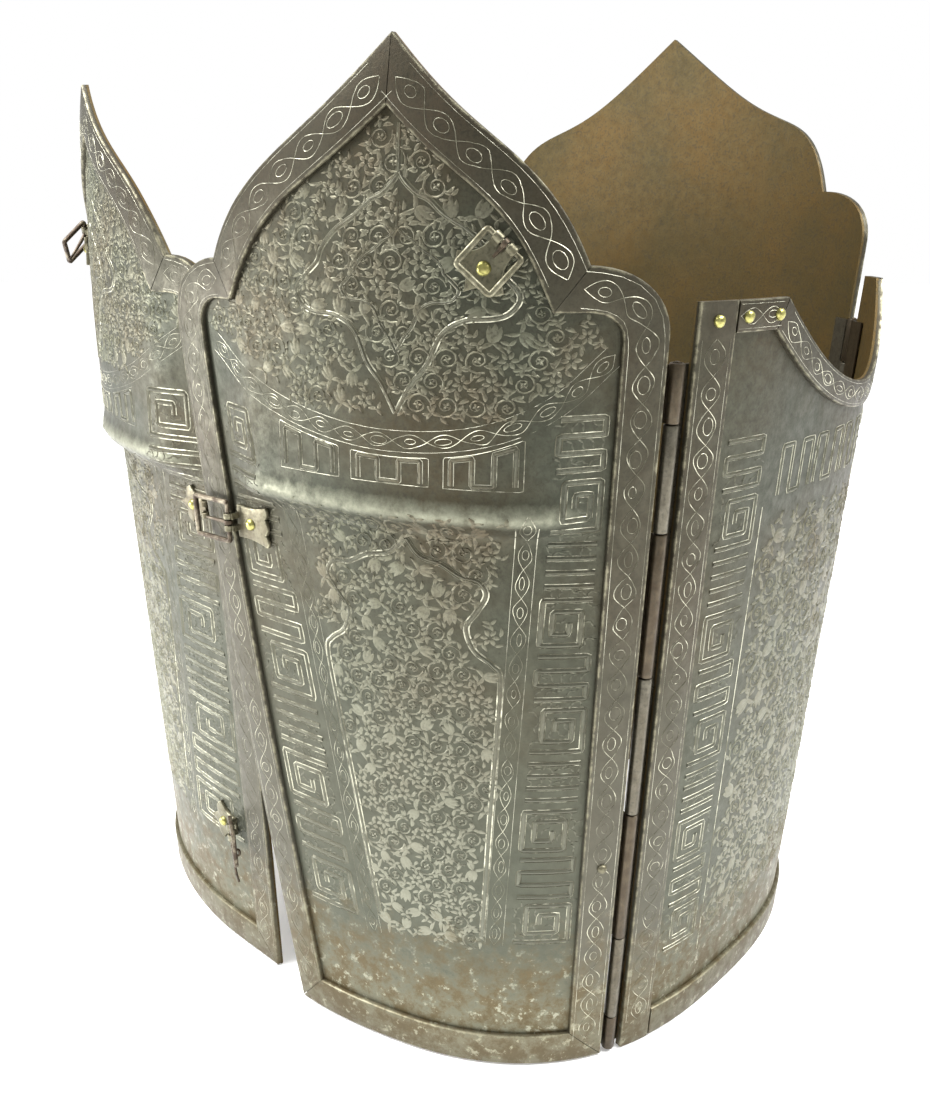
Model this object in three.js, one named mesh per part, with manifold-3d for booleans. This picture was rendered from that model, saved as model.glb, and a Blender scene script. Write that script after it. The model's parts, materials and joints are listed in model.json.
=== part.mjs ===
// Hinged plate cuirass: two pectoral front plates, two side plates with arm cut-outs and one back plate,
// each bound with flat rim strips, joined by four pin hinges, with buckles at the shoulders and the front.
// Millimetres, +Z up, the chest faces -Y, +X is the wearer's left. Every plate's foot stands on z = 0.
import * as THREE from "three";
import { mergeVertices } from "three/addons/utils/BufferGeometryUtils.js";
import Module from "manifold-3d";

const wasm = await Module();
wasm.setup();

// Driving dimensions
const BODY = {
  waistHalfWidth: 179,
  waistHalfDepth: 152,
  chestHalfWidth: 194.6,
  chestHalfDepth: 165.4,
  chestHeight: 270,
  chestSetBack: 3.6,
  ovalPower: 2.62,
  centreShift: -6.26,
};
const SHEET = 1.2;
const SEAT = 0.3;
const RIM = { width: 16, thickness: 1.6, seat: 0.7, footClear: 0.5, joint: 0.4 };
const HINGE_GIRTH = { front: 194.6, back: 398.4 };
const PLATE_INSET = 5;
const HINGE = {
  tubeRadius: 3,
  boreRadius: 1.75,
  pinRadius: 1.2,
  leafThickness: 1,
  leafFrom: 4,
  leafTo: 16,
  leafSeat: 0.5,
  leafLow: 2,
  leafHigh: 322,
  endPlay: 0.2,
};
// One row for each knuckle of a hinge, counted up from the foot.
const KNUCKLES = [
  { from: 1, to: 20, owner: "fore" },
  { from: 20, to: 65, owner: "aft" },
  { from: 65, to: 130, owner: "fore" },
  { from: 130, to: 195, owner: "aft" },
  { from: 195, to: 257, owner: "fore" },
  { from: 257, to: 300, owner: "aft" },
  { from: 300, to: 323, owner: "fore" },
];
const FRONT_CREST = {
  lobeWidth: 28,
  lobeFoot: 332,
  notchHeight: 357,
  tipHeight: 432,
  tipShare: 0.54,
  swell: 1.1,
  sharpness: 3,
};
const BACK_CREST = {
  lobeWidth: 38,
  lobeFoot: 360,
  notchHeight: 386,
  tipHeight: 476,
  tipShare: 0.5,
  swell: 2.5,
  sharpness: 5,
};
const LEFT_EDGE = { top: -8.4, footRun: 45.8, bow: 1.35 };
const RIGHT_EDGE = -11;
const LAP = { lift: 2.3, fade: 60 };
const PECTORAL = { fold: 266, swell: 7, roll: 2, rollHalf: 6, stepHeight: 11, fadeFrom: 16, fade: 30 };
const TIP_LEAN = { from: 340, depth: 5 };
const ARM = { top: 344, fore: 241.4, low: 325, depth: 41.5, band: 12 };
const LEVEL_TOP = { crest: 300, side: 285 };
const RIVET_RADIUS = { shoulder: 2.4, rim: 2.2, buckle: 2.6 };
const LOBE_SHARES = [0, 0.04, 0.2, 0.62, 1];
const OGEE_SHARES = [0.06, 0.16, 0.28, 0.42, 0.56, 0.7, 0.85, 1];
const ROUND_STEPS = 5;

const STEEL = { color: 0x6d6a5c, metalness: 0.85, roughness: 0.5 };
const RIM_STEEL = { color: 0x5d564a, metalness: 0.8, roughness: 0.55 };
const HINGE_STEEL = { color: 0x4c443c, metalness: 0.8, roughness: 0.45 };
const BUCKLE_IRON = { color: 0x50453c, metalness: 0.75, roughness: 0.6 };
const BRASS = { color: 0xb5a253, metalness: 0.9, roughness: 0.4 };

const cuirass = new THREE.Group();
const { degToRad, lerp } = THREE.MathUtils;
const fade = (t) => THREE.MathUtils.smoothstep(t, 0, 1);

function addMesh(name, geometry, look, parent = cuirass) {
  const mesh = new THREE.Mesh(geometry, new THREE.MeshStandardMaterial(look));
  mesh.name = name;
  parent.add(mesh);
}

// A closed solid from points and faces, wound so that its faces point out.
function solid(points, faces) {
  const index = faces.flatMap((f) => (f.length === 4 ? [f[0], f[1], f[2], f[0], f[2], f[3]] : f));
  let volume = 0;
  for (let i = 0; i < index.length; i += 3) {
    const [a, b, c] = [points[index[i]], points[index[i + 1]], points[index[i + 2]]];
    volume += a.dot(new THREE.Vector3().crossVectors(b, c));
  }
  const geometry = new THREE.BufferGeometry().setFromPoints(points);
  geometry.setIndex(volume < 0 ? index.reverse() : index);
  geometry.computeVertexNormals();
  return geometry;
}

function toManifold(geometry) {
  const bare = geometry.clone();
  bare.deleteAttribute("normal");
  bare.deleteAttribute("uv");
  const merged = mergeVertices(bare, 1e-4);
  const mesh = new wasm.Mesh({
    numProp: 3,
    vertProperties: new Float32Array(merged.attributes.position.array),
    triVerts: new Uint32Array(merged.index.array),
  });
  return new wasm.Manifold(mesh);
}

function fuse(geometries) {
  const whole = geometries.map(toManifold).reduce((a, b) => a.add(b));
  const mesh = whole.getMesh();
  const geometry = new THREE.BufferGeometry();
  geometry.setAttribute("position", new THREE.BufferAttribute(new Float32Array(mesh.vertProperties), 3));
  geometry.setIndex(new THREE.BufferAttribute(new Uint32Array(mesh.triVerts), 1));
  geometry.computeVertexNormals();
  return geometry;
}

// The body wall is a superellipse that widens from the waist to the chest.
function ovalPoint(angle, z) {
  const rise = z / BODY.chestHeight;
  const power = 2 / BODY.ovalPower;
  const halfWidth = lerp(BODY.waistHalfWidth, BODY.chestHalfWidth, rise);
  const halfDepth = lerp(BODY.waistHalfDepth, BODY.chestHalfDepth, rise);
  const [s, c] = [Math.sin(angle), Math.cos(angle)];
  const x = halfWidth * Math.sign(s) * Math.abs(s) ** power;
  const y = BODY.centreShift + BODY.chestSetBack * rise - halfDepth * Math.sign(c) * Math.abs(c) ** power;
  return new THREE.Vector3(x, y, z);
}

// Girth is the distance round the waist from the front middle, positive towards the wearer's left.
const GIRTH_STEPS = 7200;
const girthTable = [0];
for (let i = 1; i <= GIRTH_STEPS; i++) {
  const from = ovalPoint((Math.PI * (i - 1)) / GIRTH_STEPS, 0);
  const to = ovalPoint((Math.PI * i) / GIRTH_STEPS, 0);
  girthTable.push(girthTable[i - 1] + from.distanceTo(to));
}
const HALF_GIRTH = girthTable[GIRTH_STEPS];

function wallPoint(girth, z) {
  const wrapped = girth - Math.round(girth / (2 * HALF_GIRTH)) * 2 * HALF_GIRTH;
  const goal = Math.min(Math.abs(wrapped), HALF_GIRTH);
  let [low, high] = [0, GIRTH_STEPS];
  while (high - low > 1) {
    const mid = (low + high) >> 1;
    if (girthTable[mid] <= goal) low = mid;
    else high = mid;
  }
  const part = (goal - girthTable[low]) / (girthTable[high] - girthTable[low]);
  return ovalPoint((Math.sign(wrapped) * Math.PI * (low + part)) / GIRTH_STEPS, z);
}

// Level outward direction of the wall, so that every plate's foot stays flat.
function wallOut(girth, z) {
  const along = wallPoint(girth + 1, z).sub(wallPoint(girth - 1, z));
  return new THREE.Vector3(along.y, -along.x, 0).normalize();
}

// A plate is laid out in w, its girth towards its own side, and z. first(z) and last(z) are its upright
// edges, top(share) its upper edge over its width, and push(w, z) its outward relief.
function plateSurface(plate, w, z, offset) {
  const girth = plate.side * w;
  return wallPoint(girth, z).addScaledVector(wallOut(girth, z), plate.push(w, z) + offset);
}

// Upper edge of a crested plate: a round lobe at each side, a notch, and an ogee up to the tip.
function crestTop(crest, width, share) {
  const near = Math.min(share, 1 - share) * width;
  const rise = crest.notchHeight - crest.lobeFoot;
  if (near < crest.lobeWidth) {
    const x = 1 - near / crest.lobeWidth;
    return crest.lobeFoot + rise * Math.sqrt(1 - x * x);
  }
  const tipRun = (share < crest.tipShare ? crest.tipShare : 1 - crest.tipShare) * width;
  const fromSide = (share < crest.tipShare ? share : 1 - share) * width;
  const x = (fromSide - crest.lobeWidth) / (tipRun - crest.lobeWidth);
  const ogee = x + crest.swell * x * (1 - x) ** crest.sharpness;
  return lerp(crest.notchHeight, crest.tipHeight, ogee);
}

function crestColumns(crest, width) {
  const lobe = crest.lobeWidth / width;
  const rising = (tip) => [
    ...LOBE_SHARES.map((s) => s * lobe),
    ...OGEE_SHARES.map((s) => lerp(lobe, tip, s)),
  ];
  const falling = rising(1 - crest.tipShare).map((s) => 1 - s);
  return [...rising(crest.tipShare), ...falling.reverse().slice(1)];
}

function pectoralPush(w, z, plate) {
  const inside = Math.min(w - plate.first(z), plate.last(z) - w) - PECTORAL.fadeFrom;
  const taper = 1 - fade((z - PECTORAL.fold) / (FRONT_CREST.tipHeight - PECTORAL.fold));
  const above = z > PECTORAL.fold ? taper : 1;
  const below = fade((z - PECTORAL.fold + PECTORAL.stepHeight) / PECTORAL.stepHeight);
  const roll = PECTORAL.roll * Math.exp(-(((z - PECTORAL.fold) / PECTORAL.rollHalf) ** 2));
  return (PECTORAL.swell * above * below + roll) * fade(inside / PECTORAL.fade);
}

function frontPlate(name, side, firstEdge, lapSign) {
  const last = HINGE_GIRTH.front - PLATE_INSET;
  const width = last - firstEdge(FRONT_CREST.lobeFoot);
  const plate = { name, side, first: firstEdge, last: () => last, levelTop: LEVEL_TOP.crest, upperRows: 4 };
  plate.columns = crestColumns(FRONT_CREST, width);
  plate.levels = [0, 80, 165, 250, 256, 261, 266, 274, 300];
  plate.top = (share) => crestTop(FRONT_CREST, width, share);
  plate.push = (w, z) => {
    const lap = lapSign * LAP.lift * (1 - fade((w - firstEdge(z)) / LAP.fade));
    const rise = Math.max(0, (z - TIP_LEAN.from) / (FRONT_CREST.tipHeight - TIP_LEAN.from));
    return lap - TIP_LEAN.depth * rise ** 2 + pectoralPush(w, z, plate);
  };
  return plate;
}

function backPlate() {
  const first = HINGE_GIRTH.back + PLATE_INSET;
  const width = 2 * (HALF_GIRTH - first);
  return {
    name: "back",
    side: 1,
    first: () => first,
    last: () => first + width,
    levelTop: LEVEL_TOP.crest,
    columns: crestColumns(BACK_CREST, width),
    upperRows: 4,
    levels: [0, 100, 200, 300],
    top: (share) => crestTop(BACK_CREST, width, share),
    push: () => 0,
  };
}

// The arm opening: two half parabolas that meet at its lowest point, the aft one shorter and steeper. An
// edge point can be moved into the plate by a reach.
const ARM_AFT = HINGE_GIRTH.back - PLATE_INSET - RIM.width;
function armEdge(w, reach = 0) {
  const half = w < ARM.low ? ARM.low - ARM.fore : ARM_AFT - ARM.low;
  const x = (w - ARM.low) / half;
  const slope = (2 * ARM.depth * x) / half;
  const step = reach / Math.hypot(1, slope);
  return { w: w + slope * step, z: ARM.top - ARM.depth * Math.max(0, 1 - x * x) - step };
}

const spread = (from, to, steps) => Array.from({ length: steps + 1 }, (_, i) => lerp(from, to, i / steps));

// Where a rising function of w passes zero.
function solve(low, high, miss) {
  for (let i = 0; i < 40; i++) {
    const middle = (low + high) / 2;
    if (miss(middle) > 0) high = middle;
    else low = middle;
  }
  return (low + high) / 2;
}

function sidePlate(name, side) {
  const first = HINGE_GIRTH.front + PLATE_INSET;
  const last = HINGE_GIRTH.back - PLATE_INSET;
  const columns = [
    ...spread(first, ARM.fore, 5),
    ...spread(ARM.fore, ARM.low, 8).slice(1),
    ...spread(ARM.low, ARM_AFT, 6).slice(1),
    ...spread(ARM_AFT, last, 2).slice(1),
  ];
  return {
    name,
    side,
    first: () => first,
    last: () => last,
    levelTop: LEVEL_TOP.side,
    columns: columns.map((w) => (w - first) / (last - first)),
    upperRows: 2,
    levels: [0, 140, 285],
    top: (share) => armEdge(lerp(first, last, share)).z,
    push: () => 0,
  };
}

function plateShell(plate) {
  const rows = [
    ...plate.levels.map((z) => () => z),
    ...Array.from({ length: plate.upperRows }, (_, i) => (i + 1) / plate.upperRows).map(
      (rise) => (share) => lerp(plate.levelTop, plate.top(share), rise),
    ),
  ];
  const across = plate.columns.length;
  const points = [];
  for (const offset of [SHEET / 2, -SHEET / 2]) {
    for (const row of rows) {
      for (const share of plate.columns) {
        const z = row(share);
        points.push(plateSurface(plate, lerp(plate.first(z), plate.last(z), share), z, offset));
      }
    }
  }
  const at = (r, c) => r * across + c;
  const back = rows.length * across;
  const faces = [];
  for (let r = 0; r + 1 < rows.length; r++) {
    for (let c = 0; c + 1 < across; c++) {
      const cell = [at(r, c), at(r, c + 1), at(r + 1, c + 1), at(r + 1, c)];
      faces.push(cell, cell.map((i) => i + back).reverse());
    }
  }
  const border = [];
  for (let c = 0; c + 1 < across; c++) border.push(at(0, c));
  for (let r = 0; r + 1 < rows.length; r++) border.push(at(r, across - 1));
  for (let c = across - 1; c > 0; c--) border.push(at(rows.length - 1, c));
  for (let r = rows.length - 1; r > 0; r--) border.push(at(r, 0));
  border.forEach((a, i) => {
    const b = border[(i + 1) % border.length];
    faces.push([b, a, a + back, b + back]);
  });
  return solid(points, faces);
}

// A flat strip lying on a plate between two rows of { w, z } points.
function strip(plate, outer, inner, closed) {
  const low = SHEET / 2 + RIM.seat;
  const high = low + RIM.thickness;
  const points = outer.flatMap((o, i) => [
    plateSurface(plate, o.w, o.z, low),
    plateSurface(plate, o.w, o.z, high),
    plateSurface(plate, inner[i].w, inner[i].z, high),
    plateSurface(plate, inner[i].w, inner[i].z, low),
  ]);
  const faces = [];
  const count = outer.length;
  for (let i = 0; i < (closed ? count : count - 1); i++) {
    const [a, b] = [4 * i, 4 * ((i + 1) % count)];
    for (let k = 0; k < 4; k++) {
      const next = (k + 1) % 4;
      faces.push([a + k, a + next, b + next, b + k]);
    }
  }
  if (!closed) {
    const end = 4 * (count - 1);
    faces.push([3, 2, 1, 0], [end, end + 1, end + 2, end + 3]);
  }
  return solid(points, faces);
}

// Inner border of a loop that runs anticlockwise, kept a set distance inside it with mitred corners.
function inset(loop, distance) {
  return loop.map((p, i) => {
    const before = loop[(i + loop.length - 1) % loop.length];
    const after = loop[(i + 1) % loop.length];
    const a = new THREE.Vector2(p.w - before.w, p.z - before.z).normalize();
    const b = new THREE.Vector2(after.w - p.w, after.z - p.z).normalize();
    const mitre = new THREE.Vector2(-a.y - b.y, a.x + b.x);
    mitre.multiplyScalar(distance / (0.5 * mitre.lengthSq()));
    return { w: p.w + mitre.x, z: p.z + mitre.y };
  });
}

function rimLoop(plate) {
  const point = (share, z) => ({ w: lerp(plate.first(z), plate.last(z), share), z });
  const width = plate.last(0) - plate.first(0);
  const clearOfCorner = (share) => Math.min(share, 1 - share) * width > RIM.width + 1;
  const foot = plate.columns.filter(clearOfCorner).map((s) => point(s, RIM.footClear));
  const upright = plate.levels.filter((z) => z > RIM.width);
  return [
    point(0, RIM.footClear),
    ...foot,
    point(1, RIM.footClear),
    ...upright.map((z) => point(1, z)),
    ...plate.columns.map((s) => point(s, plate.top(s))).reverse(),
    ...upright.map((z) => point(0, z)).reverse(),
  ];
}

function addSideStrips(plate) {
  const [first, last] = [plate.first(), plate.last()];
  const rimTop = ARM.top - ARM.band;
  const [foreInner, aftInner] = [first + RIM.width, last - RIM.width];
  const row = (ws, z) => ws.map((w) => ({ w, z }));
  const add = (piece, outer, inner) =>
    addMesh(`rim_${plate.name}_${piece}`, strip(plate, outer, inner, false), RIM_STEEL);

  const heights = [RIM.footClear, ARM.top];
  const upright = (w) => heights.map((z) => ({ w, z }));
  add("fore", upright(first), upright(foreInner));
  add("aft", upright(aftInner), upright(last));

  const footRow = spread(foreInner + RIM.joint, aftInner - RIM.joint, 14);
  add("foot", row(footRow, RIM.footClear), row(footRow, RIM.width));

  // The shoulder and arm strips meet in a mitre; the arm strip ends against the aft upright.
  const mitre = solve(ARM.fore, ARM.low, (w) => rimTop - armEdge(w, ARM.band).z);
  const aftEnd = aftInner - RIM.joint;
  const innerEnd = solve(ARM.low, ARM_AFT, (w) => armEdge(w, ARM.band).w - aftEnd);
  const shoulderFrom = foreInner + RIM.joint;
  const shoulderInner = spread(shoulderFrom, armEdge(mitre, ARM.band).w, 3);
  add("shoulder", row(spread(shoulderFrom, ARM.fore, 3), ARM.top), row(shoulderInner, rimTop));

  const armOuter = spread(ARM.fore + RIM.joint, aftEnd, 14).map((w) => armEdge(w));
  const armInner = spread(mitre + RIM.joint, innerEnd, 14).map((w) => armEdge(w, ARM.band));
  add("arm", armOuter, armInner);
}

// A hinge's local directions: x towards the leaf's own plate, y outward, z up its axis.
function hingeBasis(girth, toward) {
  const foot = wallPoint(girth, 0);
  const axis = wallPoint(girth, BODY.chestHeight).sub(foot).normalize();
  const middle = wallPoint(girth, BODY.chestHeight / 2);
  const reach = wallPoint(girth + toward * (HINGE.leafTo - 2), BODY.chestHeight / 2).sub(middle);
  const x = reach.addScaledVector(axis, -reach.dot(axis)).normalize();
  const y = new THREE.Vector3().crossVectors(axis, x).multiplyScalar(toward > 0 ? -1 : 1);
  return new THREE.Matrix4().makeBasis(x, y, axis).setPosition(foot);
}

// Geometry drawn in local directions and moved into place, turned right side out if they mirror it.
function placed(geometry, basis) {
  const moved = geometry.clone().applyMatrix4(basis);
  if (basis.determinant() > 0) return moved;
  const merged = moved.index ? moved.toNonIndexed() : moved;
  const xyz = merged.attributes.position;
  for (let i = 0; i < xyz.count; i += 3) {
    const keep = new THREE.Vector3().fromBufferAttribute(xyz, i);
    xyz.setXYZ(i, xyz.getX(i + 1), xyz.getY(i + 1), xyz.getZ(i + 1));
    xyz.setXYZ(i + 1, keep.x, keep.y, keep.z);
  }
  return merged;
}

function tube(outerRadius, boreRadius, length) {
  const ring = new THREE.Shape().absarc(0, 0, outerRadius, 0, 2 * Math.PI, false);
  ring.holes.push(new THREE.Path().absarc(0, 0, boreRadius, 0, 2 * Math.PI, true));
  return new THREE.ExtrudeGeometry(ring, { depth: length, bevelEnabled: false, curveSegments: ROUND_STEPS });
}

function box(from, to) {
  const size = to.map((v, i) => v - from[i]);
  return new THREE.BoxGeometry(...size).translate(...to.map((v, i) => (v + from[i]) / 2));
}

function addHinge(name, girth, foreToward) {
  for (const owner of ["fore", "aft"]) {
    const basis = hingeBasis(girth, owner === "fore" ? foreToward : -foreToward);
    const top = -SHEET / 2 - HINGE.leafSeat;
    const pieces = [
      box([HINGE.leafFrom, top - HINGE.leafThickness, HINGE.leafLow], [HINGE.leafTo, top, HINGE.leafHigh]),
    ];
    const tabFrom = (HINGE.tubeRadius + HINGE.boreRadius) / 2;
    for (const knuckle of KNUCKLES.filter((k) => k.owner === owner)) {
      const [from, to] = [knuckle.from + HINGE.endPlay, knuckle.to - HINGE.endPlay];
      pieces.push(tube(HINGE.tubeRadius, HINGE.boreRadius, to - from).translate(0, 0, from));
      const low = Math.max(from, HINGE.leafLow);
      const high = Math.min(to, HINGE.leafHigh);
      pieces.push(box([tabFrom, top - HINGE.leafThickness, low], [HINGE.leafFrom + 1, top, high]));
    }
    addMesh(`hinge_${name}_${owner}_leaf`, placed(fuse(pieces), basis), HINGE_STEEL);
  }
  const [foot, head] = [KNUCKLES[0].from, KNUCKLES[KNUCKLES.length - 1].to];
  const pin = new THREE.CylinderGeometry(HINGE.pinRadius, HINGE.pinRadius, head - foot, 2 * ROUND_STEPS);
  pin.rotateX(Math.PI / 2).translate(0, 0, (foot + head) / 2);
  addMesh(`hinge_${name}_pin`, placed(pin, hingeBasis(girth, 1)), HINGE_STEEL);
}

// A group lying on a plate: x along the plate towards its last edge, y up it, z outward, then turned by
// an angle in the plate's own plane.
function groupOn(plate, w, z, offset, turn) {
  const step = 2;
  const point = plateSurface(plate, w, z, 0);
  const x = plateSurface(plate, w + step, z, 0).sub(plateSurface(plate, w - step, z, 0)).normalize();
  const rise = plateSurface(plate, w, z + step, 0).sub(plateSurface(plate, w, z - step, 0)).normalize();
  const out = new THREE.Vector3().crossVectors(x, rise).multiplyScalar(plate.side).normalize();
  const along = x.multiplyScalar(plate.side);
  const up = new THREE.Vector3().crossVectors(out, along);
  const group = new THREE.Group();
  group.quaternion.setFromRotationMatrix(new THREE.Matrix4().makeBasis(along, up, out));
  group.position.copy(point.addScaledVector(out, offset));
  group.rotateZ(plate.side * turn);
  cuirass.add(group);
  return group;
}

function rivetGeometry(radius, height) {
  const profile = [
    [0, 0],
    [radius, 0],
    [0.9 * radius, 0.55 * height],
    [0.55 * radius, 0.9 * height],
    [0, height],
  ];
  const points = profile.map(([r, z]) => new THREE.Vector2(r, z));
  return new THREE.LatheGeometry(points, 2 * ROUND_STEPS).rotateX(Math.PI / 2);
}

function addRivet(name, plate, w, z, offset, radius) {
  addMesh(name, rivetGeometry(radius, 0.65 * radius), BRASS, groupOn(plate, w, z, offset, 0));
}

// Sheet outlines of the buckle plates, drawn down from the bar at y = 0.
function palmetteOutline(half, length) {
  const shape = new THREE.Shape();
  shape.moveTo(-0.45 * half, 0);
  shape.quadraticCurveTo(-0.4 * half, -0.35 * length, -half, -0.55 * length);
  shape.quadraticCurveTo(-0.8 * half, -0.8 * length, -0.35 * half, -0.72 * length);
  shape.lineTo(0, -length);
  shape.lineTo(0.35 * half, -0.72 * length);
  shape.quadraticCurveTo(0.8 * half, -0.8 * length, half, -0.55 * length);
  shape.quadraticCurveTo(0.4 * half, -0.35 * length, 0.45 * half, 0);
  return shape;
}

function tabOutline(half, length) {
  const shape = new THREE.Shape();
  shape.moveTo(-0.82 * half, 0);
  shape.quadraticCurveTo(-0.7 * half, -0.5 * length, -half, -0.96 * length);
  shape.quadraticCurveTo(-0.7 * half, -1.06 * length, -0.4 * half, -0.93 * length);
  shape.quadraticCurveTo(0, -1.04 * length, 0.4 * half, -0.93 * length);
  shape.quadraticCurveTo(0.7 * half, -1.06 * length, half, -0.96 * length);
  shape.quadraticCurveTo(0.7 * half, -0.5 * length, 0.82 * half, 0);
  return shape;
}

const BUCKLE = {
  sheet: 1,
  rollRadius: 2,
  rollBore: 1.3,
  barRadius: 0.9,
  wire: 2.2,
  prongWidth: 2,
  prongThickness: 1.4,
  prongGap: 0.4,
  hookRadius: 0.7,
};
const ROLL_WALL = (BUCKLE.rollBore + BUCKLE.rollRadius) / 2;

// The riveted base plate of a buckle, with a rolled edge that leaves room for a prong in its middle.
function addBuckleBase(name, group, { half, length, rise, outline }) {
  const rollHalf = 0.45 * half;
  const eye = BUCKLE.prongWidth / 2 + BUCKLE.prongGap;
  const settings = { depth: BUCKLE.sheet, bevelEnabled: false, curveSegments: ROUND_STEPS };
  const pieces = [new THREE.ExtrudeGeometry(outline(half, length), settings).translate(0, -ROLL_WALL, 0)];
  for (const [from, to] of [[-rollHalf, -eye], [eye, rollHalf]]) {
    const roll = tube(BUCKLE.rollRadius, BUCKLE.rollBore, to - from).translate(0, 0, from);
    pieces.push(roll.rotateY(Math.PI / 2).translate(0, 0, rise));
    pieces.push(box([from, -BUCKLE.rollRadius - BUCKLE.sheet, 0], [to, -ROLL_WALL, rise]));
  }
  addMesh(`${name}_plate`, fuse(pieces), BUCKLE_IRON, group);
  const rivet = rivetGeometry(RIVET_RADIUS.buckle, 1.6).translate(0, -0.55 * length, BUCKLE.sheet + SEAT);
  addMesh(`${name}_rivet`, rivet, BRASS, group);
}

// A square frame on the bar at the group's origin, reaching down from it.
function frameGeometry({ frameHalf, frameLength }) {
  const half = BUCKLE.wire / 2;
  const bar = new THREE.CylinderGeometry(BUCKLE.barRadius, BUCKLE.barRadius, 2 * (frameHalf - half), 10);
  const arm = (x) => box([x - half, -frameLength, -half], [x + half, half, half]);
  const far = box([-frameHalf, -frameLength - BUCKLE.wire, -half], [frameHalf, -frameLength + 0.1, half]);
  return fuse([bar.rotateZ(Math.PI / 2), arm(half - frameHalf), arm(frameHalf - half), far]);
}

function prongGeometry(length) {
  const half = BUCKLE.prongWidth / 2;
  const ring = tube(BUCKLE.rollRadius, BUCKLE.rollBore, BUCKLE.prongWidth).translate(0, 0, -half);
  const low = [-half, -length, -BUCKLE.prongThickness / 2];
  return fuse([ring.rotateY(Math.PI / 2), box(low, [half, -ROLL_WALL, BUCKLE.prongThickness / 2])]);
}

// A loose bent wire that hangs over a frame's lower arm, drawn with x downward.
function hookGeometry(armAt, drop) {
  const clear = BUCKLE.wire / 2 + BUCKLE.hookRadius + 2 * SEAT;
  const route = [
    [armAt - clear, 0, -0.4],
    [armAt - 0.6 * clear, 0, clear],
    [armAt + 0.6 * clear, 0, clear],
    [armAt + clear, 0, 0],
    [armAt + 0.6 * drop, 0, 0],
    [armAt + drop, 4, 1],
  ];
  const curve = new THREE.CatmullRomCurve3(route.map((p) => new THREE.Vector3(...p)));
  const section = new THREE.Shape().absarc(0, 0, BUCKLE.hookRadius, 0, 2 * Math.PI, false);
  return new THREE.ExtrudeGeometry(section, { steps: 16, curveSegments: 3, extrudePath: curve });
}

// A whole buckle: the frame and prong are turned out from the base plate about the bar.
function addBuckle(name, spec) {
  const group = groupOn(spec.plate, spec.w, spec.z, spec.seat, spec.turn);
  addBuckleBase(name, group, spec);
  const onBar = (open) => {
    const swing = new THREE.Group();
    swing.position.z = spec.rise;
    swing.rotation.x = -degToRad(open);
    group.add(swing);
    return swing;
  };
  addMesh(`${name}_frame`, frameGeometry(spec), BUCKLE_IRON, onBar(spec.open));
  if (spec.prongLength) {
    addMesh(`${name}_prong`, prongGeometry(spec.prongLength), BUCKLE_IRON, onBar(spec.prongOpen));
  }
  if (spec.hookDrop) {
    const armAt = spec.frameHalf - BUCKLE.wire / 2;
    const hook = hookGeometry(armAt, spec.hookDrop).translate(0, -0.4 * spec.frameLength, 0);
    addMesh(`${name}_hook`, hook, BUCKLE_IRON, onBar(spec.open));
  }
}

const leftEdge = (z) => {
  const run = Math.max(0, 1 - z / FRONT_CREST.lobeFoot) ** LEFT_EDGE.bow;
  return LEFT_EDGE.top + LEFT_EDGE.footRun * run;
};
const frontLeft = frontPlate("front_left", 1, leftEdge, 1);
const frontRight = frontPlate("front_right", -1, () => RIGHT_EDGE, -1);
const sideLeft = sidePlate("side_left", 1);
const sideRight = sidePlate("side_right", -1);
const back = backPlate();

for (const plate of [frontLeft, frontRight, sideLeft, sideRight, back]) {
  addMesh(`plate_${plate.name}`, plateShell(plate), STEEL);
}
for (const plate of [frontLeft, frontRight, back]) {
  const loop = rimLoop(plate);
  addMesh(`rim_${plate.name}`, strip(plate, loop, inset(loop, RIM.width), true), RIM_STEEL);
}
for (const plate of [sideLeft, sideRight]) addSideStrips(plate);

addHinge("front_left", HINGE_GIRTH.front, -1);
addHinge("front_right", -HINGE_GIRTH.front, 1);
addHinge("back_left", HINGE_GIRTH.back, -1);
addHinge("back_right", -HINGE_GIRTH.back, 1);

// Buckles: one at each shoulder, a clasp on the left front plate, and two on the right front plate, the
// upper of which has lost its frame.
const FIELD_TOP = SHEET / 2 + SEAT;
const RIM_TOP = SHEET / 2 + RIM.seat + RIM.thickness + SEAT;
const shoulder = {
  w: 136, z: 364, seat: FIELD_TOP + SEAT, rise: 2.6, turn: degToRad(-42), outline: palmetteOutline,
  half: 11, length: 20, frameHalf: 9, frameLength: 15,
};
addBuckle("buckle_shoulder_left", { ...shoulder, plate: frontLeft, open: 9, prongOpen: 9, prongLength: 6 });
addBuckle("buckle_shoulder_right", {
  ...shoulder, plate: frontRight, open: 32, prongOpen: 20, prongLength: 20,
});
const onFront = { seat: FIELD_TOP + SEAT, turn: degToRad(90), length: 20, frameHalf: 10 };
addBuckle("clasp_left", {
  ...onFront, plate: frontLeft, w: 16.5, z: 246, rise: 4.6, half: 9, outline: tabOutline,
  frameLength: 20, open: 177, prongLength: 14, prongOpen: 176,
});
addBuckle("buckle_low_right", {
  ...onFront, plate: frontRight, w: 14, z: 72, rise: 4.6, half: 11, outline: palmetteOutline,
  frameLength: 16, open: 150, hookDrop: 20,
});
const highCatch = { ...onFront, rise: 2, half: 9, outline: palmetteOutline };
addBuckleBase("catch_high_right", groupOn(frontRight, 9, 245, onFront.seat, onFront.turn), highCatch);

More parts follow.
